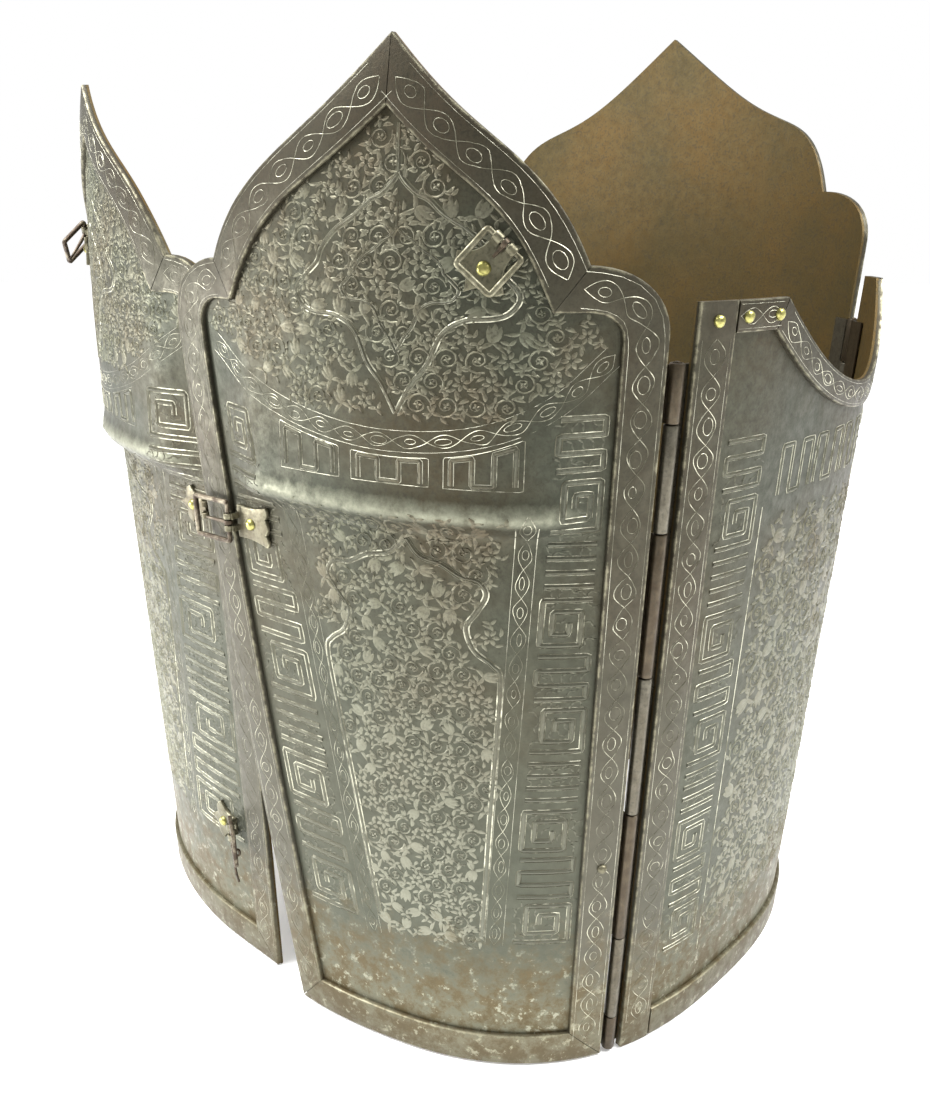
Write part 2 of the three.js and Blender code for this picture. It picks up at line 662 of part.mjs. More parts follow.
// Brass rivets at the shoulders of the side plates, and one on the left front plate's outer rim.
const SIDE_RIVETS = [
  { name: "fore", w: 207.5, z: 337 },
  { name: "mid", w: 220.5, z: 338 },
  { name: "arm", w: 236.5, z: 338 },
];
for (const plate of [sideLeft, sideRight]) {
  for (const { name, w, z } of SIDE_RIVETS) {
    addRivet(`rivet_${plate.name}_${name}`, plate, w, z, RIM_TOP, RIVET_RADIUS.shoulder);
  }
}
addRivet("rivet_front_left_rim", frontLeft, 182, 106, RIM_TOP, RIVET_RADIUS.rim);

export default cuirass;
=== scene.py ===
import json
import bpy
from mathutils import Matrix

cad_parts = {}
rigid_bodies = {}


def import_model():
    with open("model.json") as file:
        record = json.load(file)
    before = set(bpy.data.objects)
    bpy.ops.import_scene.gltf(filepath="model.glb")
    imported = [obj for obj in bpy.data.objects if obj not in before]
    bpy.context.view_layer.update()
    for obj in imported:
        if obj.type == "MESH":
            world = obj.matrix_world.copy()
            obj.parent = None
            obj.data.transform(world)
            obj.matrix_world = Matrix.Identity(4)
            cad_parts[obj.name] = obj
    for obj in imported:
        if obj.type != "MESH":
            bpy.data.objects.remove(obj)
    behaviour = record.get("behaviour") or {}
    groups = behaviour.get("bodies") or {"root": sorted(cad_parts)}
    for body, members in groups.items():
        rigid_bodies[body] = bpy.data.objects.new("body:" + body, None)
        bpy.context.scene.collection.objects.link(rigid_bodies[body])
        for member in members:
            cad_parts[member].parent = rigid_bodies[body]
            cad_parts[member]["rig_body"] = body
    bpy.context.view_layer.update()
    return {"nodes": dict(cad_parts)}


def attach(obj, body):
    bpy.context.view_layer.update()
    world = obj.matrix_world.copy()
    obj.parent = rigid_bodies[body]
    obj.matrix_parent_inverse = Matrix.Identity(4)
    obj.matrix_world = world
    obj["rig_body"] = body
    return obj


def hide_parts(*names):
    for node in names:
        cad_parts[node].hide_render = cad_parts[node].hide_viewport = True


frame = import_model()

# %% [markdown]
# A hinged cuirass: five plates of chased steel, bound with flat rims that carry a chain of silver wire,
# joined by pin hinges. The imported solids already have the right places, so this lesson lays finer surfaces
# over them. All shapes are worked out in millimetres and become metres only when a mesh is written.

# %% Tools
from types import SimpleNamespace

import bpy
import numpy as np
from mathutils import Matrix

MM = 0.001
random = np.random.default_rng(7)


def lerp(a, b, t):
    """Straight mix: a at t = 0, b at t = 1."""
    return a + (b - a) * t


def ease(t):
    """Smooth step: 3 t squared minus 2 t cubed, held at its ends."""
    t = np.clip(t, 0.0, 1.0)
    return t * t * (3.0 - 2.0 * t)


def unit(v):
    """Vectors divided by their own length."""
    return v / np.linalg.norm(v, axis=-1, keepdims=True)


def left_of(along):
    """Flat directions turned to their left by a right angle."""
    return np.stack([-along[..., 1], along[..., 0]], -1)


def quadratic(start, pull, end, t):
    """Quadratic curve from start to end, drawn towards a pull point."""
    return (1 - t) ** 2 * start + 2 * t * (1 - t) * pull + t**2 * end


def resample(line, count):
    """A line of points redrawn with count points at even distances along it."""
    run = np.concatenate([[0.0], np.cumsum(np.linalg.norm(np.diff(line, axis=0), axis=1))])
    at = np.linspace(0.0, run[-1], count)
    return np.stack([np.interp(at, run, line[:, k]) for k in range(line.shape[1])], 1)


def length_of(line):
    """Length of a line of points."""
    return float(np.linalg.norm(np.diff(line, axis=0), axis=1).sum())


# %% [markdown]
# The body wall is a rounded oval that widens from the waist to the chest. A plate lies on it like paper:
# w is the distance round the waist from the front middle, z the height. The same formula as in the solids is
# used, so that every ornament can be drawn flat in (w, z) and then laid on the curved wall.

# %% The oval wall
WAIST = np.array([179.0, 152.0])
CHEST = np.array([194.6, 165.4])
CHEST_HEIGHT, SET_BACK, OVAL_POWER, CENTRE_Y = 270.0, 3.6, 2.62, -6.26


def oval(angle, z):
    """Superellipse: x = a sin^(2/n), y = centre + set-back - b cos^(2/n), with a and b growing with z."""
    angle, z = np.broadcast_arrays(np.asarray(angle, float), np.asarray(z, float))
    rise = z / CHEST_HEIGHT
    half = [lerp(WAIST[k], CHEST[k], rise) for k in (0, 1)]
    s, c = np.sin(angle), np.cos(angle)
    x = half[0] * np.sign(s) * np.abs(s) ** (2 / OVAL_POWER)
    y = CENTRE_Y + SET_BACK * rise - half[1] * np.sign(c) * np.abs(c) ** (2 / OVAL_POWER)
    return np.stack([x, y, z], -1)


ANGLES = np.linspace(0.0, np.pi, 7201)
STEPS = np.linalg.norm(np.diff(oval(ANGLES, 0.0), axis=0), axis=1)
GIRTHS = np.concatenate([[0.0], np.cumsum(STEPS)])
HALF_GIRTH = GIRTHS[-1]


def wall(girth, z):
    """Point of the wall at a distance round the waist: the angle comes from a table of arc lengths."""
    turns = np.round(np.asarray(girth) / (2 * HALF_GIRTH))
    wrapped = girth - turns * 2 * HALF_GIRTH
    return oval(np.sign(wrapped) * np.interp(np.abs(wrapped), GIRTHS, ANGLES), z)


def outward(girth, z):
    """Level direction away from the wall: the step along the wall turned by a right angle."""
    along = wall(girth + 1.0, z) - wall(girth - 1.0, z)
    return unit(np.stack([along[..., 1], -along[..., 0], np.zeros(along.shape[:-1])], -1))


print("girth at the waist:", round(2 * HALF_GIRTH), "mm")

# %% [markdown]
# The five plates. Each knows its side, its two upright edges and its relief: the front plates swell over
# the chest above a rolled fold, lap one over the other at the front, and lean in at the tips.

# %% The plates
SHEET = 1.2
FACE = SHEET / 2
HINGE_W = {"front": 194.6, "back": 398.4}
PLATE_GAP = 5.0
FRONT_CREST = SimpleNamespace(lobe=28.0, foot=332.0, notch=357.0, tip=432.0, share=0.54, swell=1.1, sharp=3)
BACK_CREST = SimpleNamespace(lobe=38.0, foot=360.0, notch=386.0, tip=476.0, share=0.5, swell=2.5, sharp=5)
FOLD_Z = 266.0
FRONT = SimpleNamespace(lap=2.3, lap_run=60.0, lean=5.0, lean_from=340.0, border=16.0, border_run=30.0,
                        swell=7.0, fold_run=11.0, roll=2.0, roll_half=6.0)
ARM = SimpleNamespace(top=344.0, fore=241.4, low=325.0, aft=377.4, depth=41.5, band=12.0)


def arm_edge(w, reach=0.0):
    """Two half parabolas, depth (1 - x^2) below the top, moved into the plate by reach along their normal."""
    half = np.where(w < ARM.low, ARM.low - ARM.fore, ARM.aft - ARM.low)
    x = (w - ARM.low) / half
    slope = 2 * ARM.depth * x / half
    step = reach / np.hypot(1.0, slope)
    return np.stack([w + slope * step, ARM.top - ARM.depth * np.maximum(0.0, 1 - x * x) - step], -1)


def front_relief(plate, lap_sign, w, z):
    """Lap fading away from the edge, minus the tip's lean, plus the chest's swell above its fold."""
    first, last = plate.first(z), plate.last(z)
    lap = lap_sign * FRONT.lap * (1 - ease((w - first) / FRONT.lap_run))
    lean_run = FRONT_CREST.tip - FRONT.lean_from
    lean = FRONT.lean * np.maximum(0.0, (z - FRONT.lean_from) / lean_run) ** 2
    inside = ease((np.minimum(w - first, last - w) - FRONT.border) / FRONT.border_run)
    above = np.where(z > FOLD_Z, 1 - ease((z - FOLD_Z) / (FRONT_CREST.tip - FOLD_Z)), 1.0)
    below = ease((z - FOLD_Z + FRONT.fold_run) / FRONT.fold_run)
    roll = FRONT.roll * np.exp(-(((z - FOLD_Z) / FRONT.roll_half) ** 2))
    return lap - lean + (FRONT.swell * above * below + roll) * inside


def make_plate(name, side, first, last, crest=None, lap_sign=None):
    """A plate's own numbers, gathered under one name."""
    plate = SimpleNamespace(name=name, side=side, first=first, last=last, crest=crest)
    flat = lambda w, z: np.zeros(np.broadcast(w, z).shape)
    lapped = lambda w, z: front_relief(plate, lap_sign, w, z)
    plate.relief = flat if lap_sign is None else lapped
    return plate


def level(value):
    """An upright edge: the same w at every height."""
    return lambda z: value + 0.0 * np.asarray(z, float)


def swept_edge(z):
    """The left plate's front edge: it swings away from the middle towards the foot."""
    return -8.4 + 45.8 * np.maximum(0.0, 1 - np.asarray(z, float) / FRONT_CREST.foot) ** 1.35


FRONT_LAST = HINGE_W["front"] - PLATE_GAP
SIDE_ENDS = level(HINGE_W["front"] + PLATE_GAP), level(HINGE_W["back"] - PLATE_GAP)
BACK_FIRST = HINGE_W["back"] + PLATE_GAP
PLATES = {
    "front_left": make_plate("front_left", 1, swept_edge, level(FRONT_LAST), FRONT_CREST, 1),
    "front_right": make_plate("front_right", -1, level(-11.0), level(FRONT_LAST), FRONT_CREST, -1),
    "side_left": make_plate("side_left", 1, *SIDE_ENDS),
    "side_right": make_plate("side_right", -1, *SIDE_ENDS),
    "back": make_plate("back", 1, level(BACK_FIRST), level(2 * HALF_GIRTH - BACK_FIRST), BACK_CREST),
}


def surface(plate, w, z, lift):
    """Wall point pushed outward by the plate's relief and by lift."""
    w, z = np.broadcast_arrays(np.asarray(w, float), np.asarray(z, float))
    push = (plate.relief(w, z) + lift)[..., None]
    return wall(plate.side * w, z) + outward(plate.side * w, z) * push


print("plates:", ", ".join(PLATES))

# %% [markdown]
# Meshes are written from whole arrays. Most pieces here are tubes: a ring of points carried along a path,
# many at once. Faces of a plate on the wearer's right are turned round, because it mirrors the left one.

# %% Writing meshes
def tube_faces(count, stations, ring, loop=False):
    """Quads between neighbouring rings of count tubes, with a cap on each end unless the path is a loop."""
    index = np.arange(count * stations * ring).reshape(count, stations, ring)
    path = np.concatenate([index, index[:, :1]], 1) if loop else index
    path = np.concatenate([path, path[:, :, :1]], 2)
    corners = [path[:, :-1, :-1], path[:, 1:, :-1], path[:, 1:, 1:], path[:, :-1, 1:]]
    quads = np.stack(corners, -1).reshape(-1, 4)
    return [quads] if loop else [quads, index[:, 0, :], index[:, -1, ::-1]]


def part(points, faces, flip=False, slot=0, edge=None):
    """Points, faces, the material's number and a per-point value for rubbed metal and painted sheen, kept
    together.
    """
    points = np.asarray(points, float).reshape(-1, 3)
    turned = [f[:, ::-1] if flip else f for f in faces]
    wear_and_sheen = np.zeros(len(points)) if edge is None else np.asarray(edge, float).ravel()
    return SimpleNamespace(points=points, faces=turned, slot=slot, edge=wear_and_sheen)


def write_piece(name, parts, materials, sharp=40.0):
    """One object from several parts. Faces are shaded smooth across edges flatter than sharp degrees."""
    starts = np.cumsum([0] + [len(p.points) for p in parts])
    rows = [(f + s, p.slot) for p, s in zip(parts, starts) for f in p.faces if len(f)]
    corners = np.concatenate([f.ravel() for f, _ in rows])
    sizes = np.concatenate([np.full(len(f), f.shape[1]) for f, _ in rows])
    slots = np.concatenate([np.full(len(f), slot) for f, slot in rows])
    mesh = bpy.data.meshes.new(name)
    mesh.vertices.add(starts[-1])
    mesh.vertices.foreach_set("co", np.concatenate([p.points for p in parts]).ravel() * MM)
    mesh.loops.add(len(corners))
    mesh.loops.foreach_set("vertex_index", corners.astype(np.int32))
    mesh.polygons.add(len(sizes))
    mesh.polygons.foreach_set("loop_start", (np.cumsum(sizes) - sizes).astype(np.int32))
    mesh.polygons.foreach_set("material_index", slots.astype(np.int32))
    mesh.update(calc_edges=True)
    # Per-point value: rubbed metal on rims and buckles, and a painted highlight along the front plates' chest
    # fold.
    wear_and_sheen = mesh.attributes.new("wear_and_sheen", "FLOAT", "POINT")
    wear_and_sheen.data.foreach_set("value", np.concatenate([p.edge for p in parts]))
    mesh.validate()
    mesh.shade_smooth()
    mesh.set_sharp_from_angle(angle=np.radians(sharp))
    for material in materials:
        mesh.materials.append(material)
    piece = bpy.data.objects.new(name, mesh)
    bpy.context.scene.collection.objects.link(piece)
    return piece


def body_of(node):
    """Name of the body that carries a solid."""
    return frame["nodes"][node]["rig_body"]


def dress(piece, slot, *nodes):
    """The piece rides with the first solid named, and stands for all of them."""
    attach(piece, body_of(nodes[0]))
    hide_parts(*nodes)


# %% [markdown]
# Colours are typed as sRGB hex values and turned to linear light once. One function adds a node, sets it and
# links it, so that each material reads as a list of what it is made of.

# %% Colours and nodes
def linear(code):
    """sRGB hex to linear: divide by 12.92 in the darks, otherwise a power of 2.4."""
    srgb = np.array([int(code[i:i + 2], 16) for i in (1, 3, 5)]) / 255
    rgb = np.where(srgb <= 0.04045, srgb / 12.92, ((srgb + 0.055) / 1.055) ** 2.4)
    return (*rgb.tolist(), 1.0)


def node(tree, kind, inputs=None, **settings):
    """Adds a node; an input given as a socket is linked, any other value is set."""
    made = tree.nodes.new(kind)
    for key, value in settings.items():
        setattr(made, key, value)
    for key, value in (inputs or {}).items():
        if isinstance(value, bpy.types.NodeSocket):
            tree.links.new(value, made.inputs[key])
        else:
            made.inputs[key].default_value = value
    return made


def noise(tree, place, size, detail=2.0, rough=0.5):
    """Cloudy noise from 0 to 1, its clouds about size metres wide."""
    inputs = {"Vector": place, "Scale": 1 / size, "Detail": detail, "Roughness": rough}
    return node(tree, "ShaderNodeTexNoise", inputs).outputs[0]


def ramp(tree, value, low, high, start=0.0, end=1.0):
    """Straight run from start, where the value is low, to end, where it is high, held beyond both."""
    inputs = {"Value": value, "From Min": low, "From Max": high, "To Min": start, "To Max": end}
    return node(tree, "ShaderNodeMapRange", inputs).outputs[0]


def calc(tree, operation, *values):
    """One step of arithmetic on sockets and numbers."""
    return node(tree, "ShaderNodeMath", dict(enumerate(values)), operation=operation).outputs[0]


def blend(tree, share, first, second):
    """Colour mix: the first at share 0, the second at share 1, each a hex value or a socket."""
    pair = [linear(colour) if isinstance(colour, str) else colour for colour in (first, second)]
    return node(tree, "ShaderNodeMix", {0: share, 6: pair[0], 7: pair[1]}, data_type="RGBA").outputs[2]


def start_material(name):
    """An empty material with its shader, its output and Object coordinates."""
    material = bpy.data.materials.new(name)
    material.use_nodes = True
    tree = material.node_tree
    tree.nodes.clear()
    shader = node(tree, "ShaderNodeBsdfPrincipled")
    node(tree, "ShaderNodeOutputMaterial", {"Surface": shader.outputs["BSDF"]})
    place = node(tree, "ShaderNodeTexCoord").outputs["Object"]
    return material, tree, shader, place


# %% [markdown]
# Old steel is never one colour. Grey metal shows where hands and cloth have rubbed it, brown oxide stays
# in the ground, and broad stains drift over the sheet. Noise of four sizes gives that: stains of 60 mm,
# patches of 11 mm at the worn foot, mottling of 5 mm, and a matted ground of 1.3 mm punch marks, which is
# drawn a little coarse so that it shows in the render.

# %% Patinated steel
PIT, GRAIN_SIZE, GRAIN_DEPTH = "#2f2d24", 1.3 * MM, 0.14 * MM


def patinated_steel(name, ground, stain, rubbed, foot=None, metallic=0.72, rough=(0.40, 0.62), edge=None,
                    rub_and_sheen_span=(0.42, 0.62), painted_floor_bounce=None):
    """Ground mixed with stain by broad noise and with rubbed metal by mottling.

    Lower down it grows paler, painted light for the floor's bounce; the foot is brown with bare patches and
    flecks.
    """
    material, tree, shader, place = start_material(name)
    broad = noise(tree, place, 0.06, 3.0, 0.6)
    mottle = noise(tree, place, 0.005, 6.0, 0.7)
    grain = noise(tree, place, GRAIN_SIZE)
    colour = blend(tree, ramp(tree, broad, 0.38, 0.66), ground, stain)
    colour = blend(tree, ramp(tree, mottle, 0.40, 0.78, 0.0, 0.7), colour, rubbed)
    colour = blend(tree, ramp(tree, grain, 0.5, 0.68, 0.0, 0.5), colour, PIT)
    if foot:
        height = node(tree, "ShaderNodeSeparateXYZ", {"Vector": place}).outputs["Z"]
        # Painted light: paler towards the bottom, in place of the light bounced up from the white floor.
        if painted_floor_bounce:
            colour = blend(tree, ramp(tree, height, 0.25, 0.08, 0.0, 0.75), colour, painted_floor_bounce)
        patch = noise(tree, place, 0.011, 8.0, 0.76)
        ragged = calc(tree, "ADD", height, calc(tree, "MULTIPLY_ADD", patch, 0.14, -0.07))
        worn_foot = blend(tree, ramp(tree, patch, 0.44, 0.59), foot[0], foot[1])
        worn_foot = blend(tree, ramp(tree, mottle, 0.57, 0.63), worn_foot, foot[2])
        colour = blend(tree, ramp(tree, ragged, 0.072, 0.030, 0.0, 0.85), colour, worn_foot)
    # Pale metal where the per-point value is high: rubbed shoulders of rims and buckles, and along the front
    # plates' chest fold a band that is partly rubbed metal and partly a painted highlight on the roll.
    if edge:
        wear_and_sheen = node(tree, "ShaderNodeAttribute", attribute_name="wear_and_sheen").outputs["Fac"]
        rub_and_sheen = ramp(tree, calc(tree, "MULTIPLY", wear_and_sheen, mottle), *rub_and_sheen_span)
        colour = blend(tree, rub_and_sheen, colour, edge)
    dull = ramp(tree, mottle, 0.3, 0.7, rough[1], rough[0])
    matted = node(tree, "ShaderNodeBump", {"Height": grain, "Strength": 0.5, "Distance": GRAIN_DEPTH})
    beaten = node(tree, "ShaderNodeBump", {"Height": broad, "Strength": 0.35, "Distance": 3 * MM,
                                           "Normal": matted.outputs[0]})
    tree.links.new(colour, shader.inputs["Base Color"])
    tree.links.new(dull, shader.inputs["Roughness"])
    tree.links.new(beaten.outputs[0], shader.inputs["Normal"])
    shader.inputs["Metallic"].default_value = metallic
    return material


FOOT = "#55492f", "#6c6a58", "#8f8e7b"
RIM_FOOT = "#52472f", "#686451", "#86836e"
# Sheet steel with a punched ground: dark olive grey and dull, paler low down as painted floor bounce light.
# Its pale band along the chest fold is partly rubbed metal and partly a painted highlight on the roll.
CHASED_STEEL = patinated_steel("chased_steel_matted_ground", "#383a2f", "#3d3727", "#494a3d", FOOT,
                               edge="#7a7b6a", rub_and_sheen_span=(0.16, 0.72), painted_floor_bounce="#4c4e42")
# The same steel left standing by the chisel: a shade paler, so that bars and leaves lift off the ground.
# The darker ground between them is partly real matting and partly painted recess shade; low down both pale as
# painted floor bounce.
FRET_STEEL = patinated_steel("chased_steel_raised_bar", "#4b4c40", "#4d4737", "#5e5f51", FOOT,
                             painted_floor_bounce="#636457")
RELIEF_STEEL = patinated_steel("chased_steel_raised_leaf", "#5c5d4d", "#5c5443", "#727262", FOOT,
                               rough=(0.42, 0.58), painted_floor_bounce="#7f7f70")
# Browned strip steel, darker than the field, with rubbed shoulders, paler low down as painted floor bounce
# light.
RIM_STEEL = patinated_steel("rim_steel_browned", "#39372b", "#3b3427", "#484538", RIM_FOOT, edge="#787460",
                            rough=(0.38, 0.58), painted_floor_bounce="#525045")
# Rolled hinge tubes, smoother than the plates from oil and turning.
HINGE_STEEL = patinated_steel("hinge_steel_oiled_brown", "#403729", "#3a3023", "#5a5141", rough=(0.28, 0.46))
PALE_HINGE_STEEL = patinated_steel("hinge_steel_rubbed_grey", "#504c41", "#494234", "#6e6a5d",
                                   rough=(0.26, 0.42))
# The hidden side, never polished: matt rust brown.
INSIDE_STEEL = patinated_steel("inside_steel_rust_brown", "#463b1d", "#56421b", "#524523", metallic=0.6,
                               rough=(0.5, 0.72))
# Forged buckle iron, dark in the loops and rubbed pale on the leaves.
BUCKLE_IRON = patinated_steel("buckle_iron_forged", "#43382c", "#372c24", "#6a604f", edge="#8b8370",
                              rough=(0.4, 0.6))
LEAF_IRON = patinated_steel("buckle_leaf_rubbed_iron", "#625f4c", "#5a523f", "#7d7a65", edge="#98947d",
                            rough=(0.36, 0.55))
print("steels:", ", ".join(m.name for m in bpy.data.materials if "steel" in m.name or "iron" in m.name))

# %% [markdown]
# The inlay is silver wire hammered into cut grooves. It is pale and soft-shining, and in places it has
# rubbed away to the steel, so noise of 35 and 4 mm takes it back to the ground colour here and there. The
# rivets are brass, yellow-green where they have been polished and darker in clouds of tarnish.

# %% Silver and brass
def worn_silver(name, silver, bare, keep):
    """Silver that falls back to bare steel where the noise is below keep."""
    material, tree, shader, place = start_material(name)
    both = calc(tree, "ADD", noise(tree, place, 0.035), noise(tree, place, 0.004, 3.0, 0.6))
    left = ramp(tree, both, 2 * keep - 0.1, 2 * keep + 0.1)
    tree.links.new(blend(tree, left, bare, silver), shader.inputs["Base Color"])
    shader.inputs["Metallic"].default_value = 0.45
    shader.inputs["Roughness"].default_value = 0.36
    return material


def polished_brass(name):
    """Yellow-green brass with darker tarnish in 2 mm clouds."""
    material, tree, shader, place = start_material(name)
    tarnish = ramp(tree, noise(tree, place, 0.002, 3.0), 0.42, 0.7)
    tree.links.new(blend(tree, tarnish, "#a6a25f", "#787042"), shader.inputs["Base Color"])
    shader.inputs["Metallic"].default_value = 0.75
    shader.inputs["Roughness"].default_value = 0.32
    return material


SILVER = worn_silver("silver_wire_inlay", "#c4c2ac", "#5c5a49", 0.53)
FAINT_SILVER = worn_silver("silver_wire_rubbed", "#b7b5a2", "#636150", 0.495)
BRASS = polished_brass("brass_rivet_polished")
print("inlay and rivets:", SILVER.name, FAINT_SILVER.name, BRASS.name)

# %% [markdown]
# A plate is one sheet: an outer face, an inner face and the cut edge between. The grid has a column at each
# notch and at the tip so that the crest stays sharp, and its rows crowd at the chest fold.

# %% Plate sheets
def crest_columns(crest, width):
    """Shares of the width: a quarter circle's spacing over each lobe, even steps up each ogee."""
    lobe = crest.lobe / width * (1 - np.cos(np.linspace(0, np.pi / 2, 12)))
    rising = np.concatenate([lobe, np.linspace(lobe[-1], crest.share, 40)[1:]])
    falling = np.concatenate([lobe, np.linspace(lobe[-1], 1 - crest.share, 40)[1:]])
    return np.concatenate([rising, 1 - falling[::-1][1:]])


def ogee(crest, x):
    """Height from notch to tip: x + swell x (1 - x)^sharp of the way."""
    return lerp(crest.notch, crest.tip, x + crest.swell * x * (1 - x) ** crest.sharp)


def crest_top(crest, width, share):
    """Quarter ellipse over each lobe, then an ogee up to the tip."""
    near = np.minimum(share, 1 - share) * width
    lobe = crest.foot + (crest.notch - crest.foot) * np.sqrt(1 - np.clip(1 - near / crest.lobe, 0, 1) ** 2)
    run = np.where(share < crest.share, share, 1 - share) * width
    reach = np.where(share < crest.share, crest.share, 1 - crest.share) * width
    x = np.clip((run - crest.lobe) / (reach - crest.lobe), 0, 1)
    return np.where(near < crest.lobe, lobe, ogee(crest, x))


def plate_sheet(plate):
    """Grid over share and height, lifted by half a sheet outward and inward, joined round its border."""
    if plate.crest:
        width = plate.last(plate.crest.foot) - plate.first(plate.crest.foot)
        shares = crest_columns(plate.crest, width)
        top = crest_top(plate.crest, width, shares)
        even, fold_rows = np.linspace(0, 240, 36), np.linspace(246, 290, 26)
        levels = np.concatenate([even, fold_rows, [300.0]])
    else:
        first, last = plate.first(0), plate.last(0)
        runs = ((first, ARM.fore, 12), (ARM.fore, ARM.low, 40), (ARM.low, ARM.aft, 30), (ARM.aft, last, 6))
        columns = np.concatenate([[first]] + [np.linspace(a, b, n)[1:] for a, b, n in runs])
        shares = (columns - first) / (last - first)
        top = arm_edge(columns)[:, 1]
        levels = np.linspace(0, 285, 40)
    upper = np.linspace(0, 1, 31)[1:, None]
    z = np.concatenate([np.repeat(levels[:, None], len(shares), 1), lerp(levels[-1], top[None], upper)])
    w = lerp(plate.first(z), plate.last(z), shares[None])
    rows, columns = z.shape
    index = np.arange(rows * columns).reshape(rows, columns)
    outer = np.stack([index[:-1, :-1], index[:-1, 1:], index[1:, 1:], index[1:, :-1]], -1).reshape(-1, 4)
    rim = np.concatenate([index[0, :-1], index[:-1, -1], index[-1, :0:-1], index[:0:-1, 0]])
    after = np.roll(rim, -1)
    inner = outer[:, ::-1] + rows * columns
    border = np.stack([after, rim, rim + rows * columns, after + rows * columns], 1)
    points = np.concatenate([surface(plate, w, z, lift).reshape(-1, 3) for lift in (FACE, -FACE)])
    flip = plate.side < 0
    bare = np.zeros((0, 3))
    # The front plates get a pale band along the chest fold, carried in the per-point value: partly rubbed
    # metal on the roll, partly a painted highlight.
    inset = ease((np.minimum(w - plate.first(z), plate.last(z) - w) - 16.0) / 25.0)
    fold = 1.15 * np.exp(-(((z - FOLD_Z - 1.0) / 5.0) ** 2)) * inset * (plate.crest is FRONT_CREST)
    shell = part(points, [outer], flip, edge=np.concatenate([fold.ravel(), 0 * fold.ravel()]))
    lining = part(bare, [inner - len(points), border - len(points)], flip, slot=1)
    return [shell, lining]


for name, plate in PLATES.items():
    sheet = write_piece(f"plate_{name}_sheet", plate_sheet(plate), [CHASED_STEEL, INSIDE_STEEL])
    dress(sheet, "inlaid_steel", f"plate_{name}")
    print(sheet.name, len(sheet.data.polygons), "faces")

# %% [markdown]
# The rims are flat strips, 16 mm wide, riveted on and mitred at the corners. Each side of a plate is drawn
# as a line, set in by the strip's width, and cut where it meets the next one, as a smith does with a mitre.

# %% Edges and mitres
RIM_WIDTH, RIM_LOW, RIM_HIGH, FOOT_CLEAR, MITRE_GAP = 16.0, FACE - 0.1, 2.9, 0.5, 0.15
RIM_STATIONS, MITRE_REACH = 110, 30.0


def crest_sides(plate):
    """Five lines anticlockwise: foot, last edge with its lobe, two ogees, first lobe with its edge."""
    crest = plate.crest
    first, last = plate.first(crest.foot), plate.last(crest.foot)
    heights = np.linspace(FOOT_CLEAR, crest.foot, 560)
    turn = np.linspace(0, np.pi / 2, 80)[1:]
    lobe_in, lobe_z = crest.lobe * (1 - np.cos(turn)), lerp(crest.foot, crest.notch, np.sin(turn))
    x = np.linspace(0, 1, 260)
    ogee_z = ogee(crest, x)
    to_first, to_last = (lerp(crest.lobe, s * (last - first), x) for s in (crest.share, 1 - crest.share))
    line = lambda w, z: np.stack(np.broadcast_arrays(w, z), 1)
    foot = line(np.linspace(plate.first(FOOT_CLEAR), plate.last(FOOT_CLEAR), 400), FOOT_CLEAR)
    rising = np.vstack([line(plate.last(heights), heights), line(last - lobe_in, lobe_z)])
    falling = np.vstack([line(plate.first(heights), heights), line(first + lobe_in, lobe_z)])[::-1]
    return [foot, rising, line(last - to_last, ogee_z), line(first + to_first, ogee_z)[::-1], falling]


def set_in(line, distance):
    """The line moved to its left by distance, with straight ends added so that neighbours can cross."""
    along = unit(np.gradient(line, axis=0))
    moved = line + distance * left_of(along)
    ends = np.arange(0.4, MITRE_REACH, 0.4)[:, None]
    return np.vstack([moved[0] - along[0] * ends[::-1], moved, moved[-1] + along[-1] * ends])


def mitred(sides, distance):
    """Each side set in, then cut where it crosses the next: the nearest pair of points is the corner."""
    lines = [set_in(side, distance) for side in sides]
    cuts = []
    for before, after in zip(lines, lines[1:] + lines[:1]):
        gaps = np.linalg.norm(before[:, None] - after[None], axis=2)
        cuts.append(np.unravel_index(gaps.argmin(), gaps.shape))
    starts = [cuts[-1][1]] + [c[1] for c in cuts[:-1]]
    return [line[start:cut[0] + 1] for line, start, cut in zip(lines, starts, cuts)]


STRIP_ACROSS = np.array([0.0, 0.0, 0.02, 0.07, 0.5, 0.93, 0.98, 1.0, 1.0])
STRIP_HEIGHT = np.array([0.0, 0.70, 0.93, 1.0, 1.0, 1.0, 0.93, 0.70, 0.0])
STRIP_WEAR = np.array([0.3, 1.0, 1.1, 0.7, 0.1, 0.7, 1.1, 1.0, 0.3])


def strip_part(plate, outer, inner, stations):
    """A flat bar with rounded shoulders, carried between its outer and its inner line."""
    outer, inner = resample(outer, stations), resample(inner, stations)
    across = STRIP_ACROSS[None, :, None]
    wz = lerp(outer[:, None], inner[:, None], across)
    lift = lerp(RIM_LOW, RIM_HIGH, STRIP_HEIGHT)[None]
    points = surface(plate, wz[..., 0], wz[..., 1], lift)
    wear_and_sheen = np.repeat(STRIP_WEAR[None], stations, 0)
    return part(points, tube_faces(1, stations, len(STRIP_WEAR)), plate.side < 0, edge=wear_and_sheen)


def trimmed(line, gap):
    """The line with a little taken off each end, so that a joint shows."""
    fine = resample(line, 4000)
    cut = max(1, round(4000 * gap / length_of(line)))
    return fine[cut:-cut]


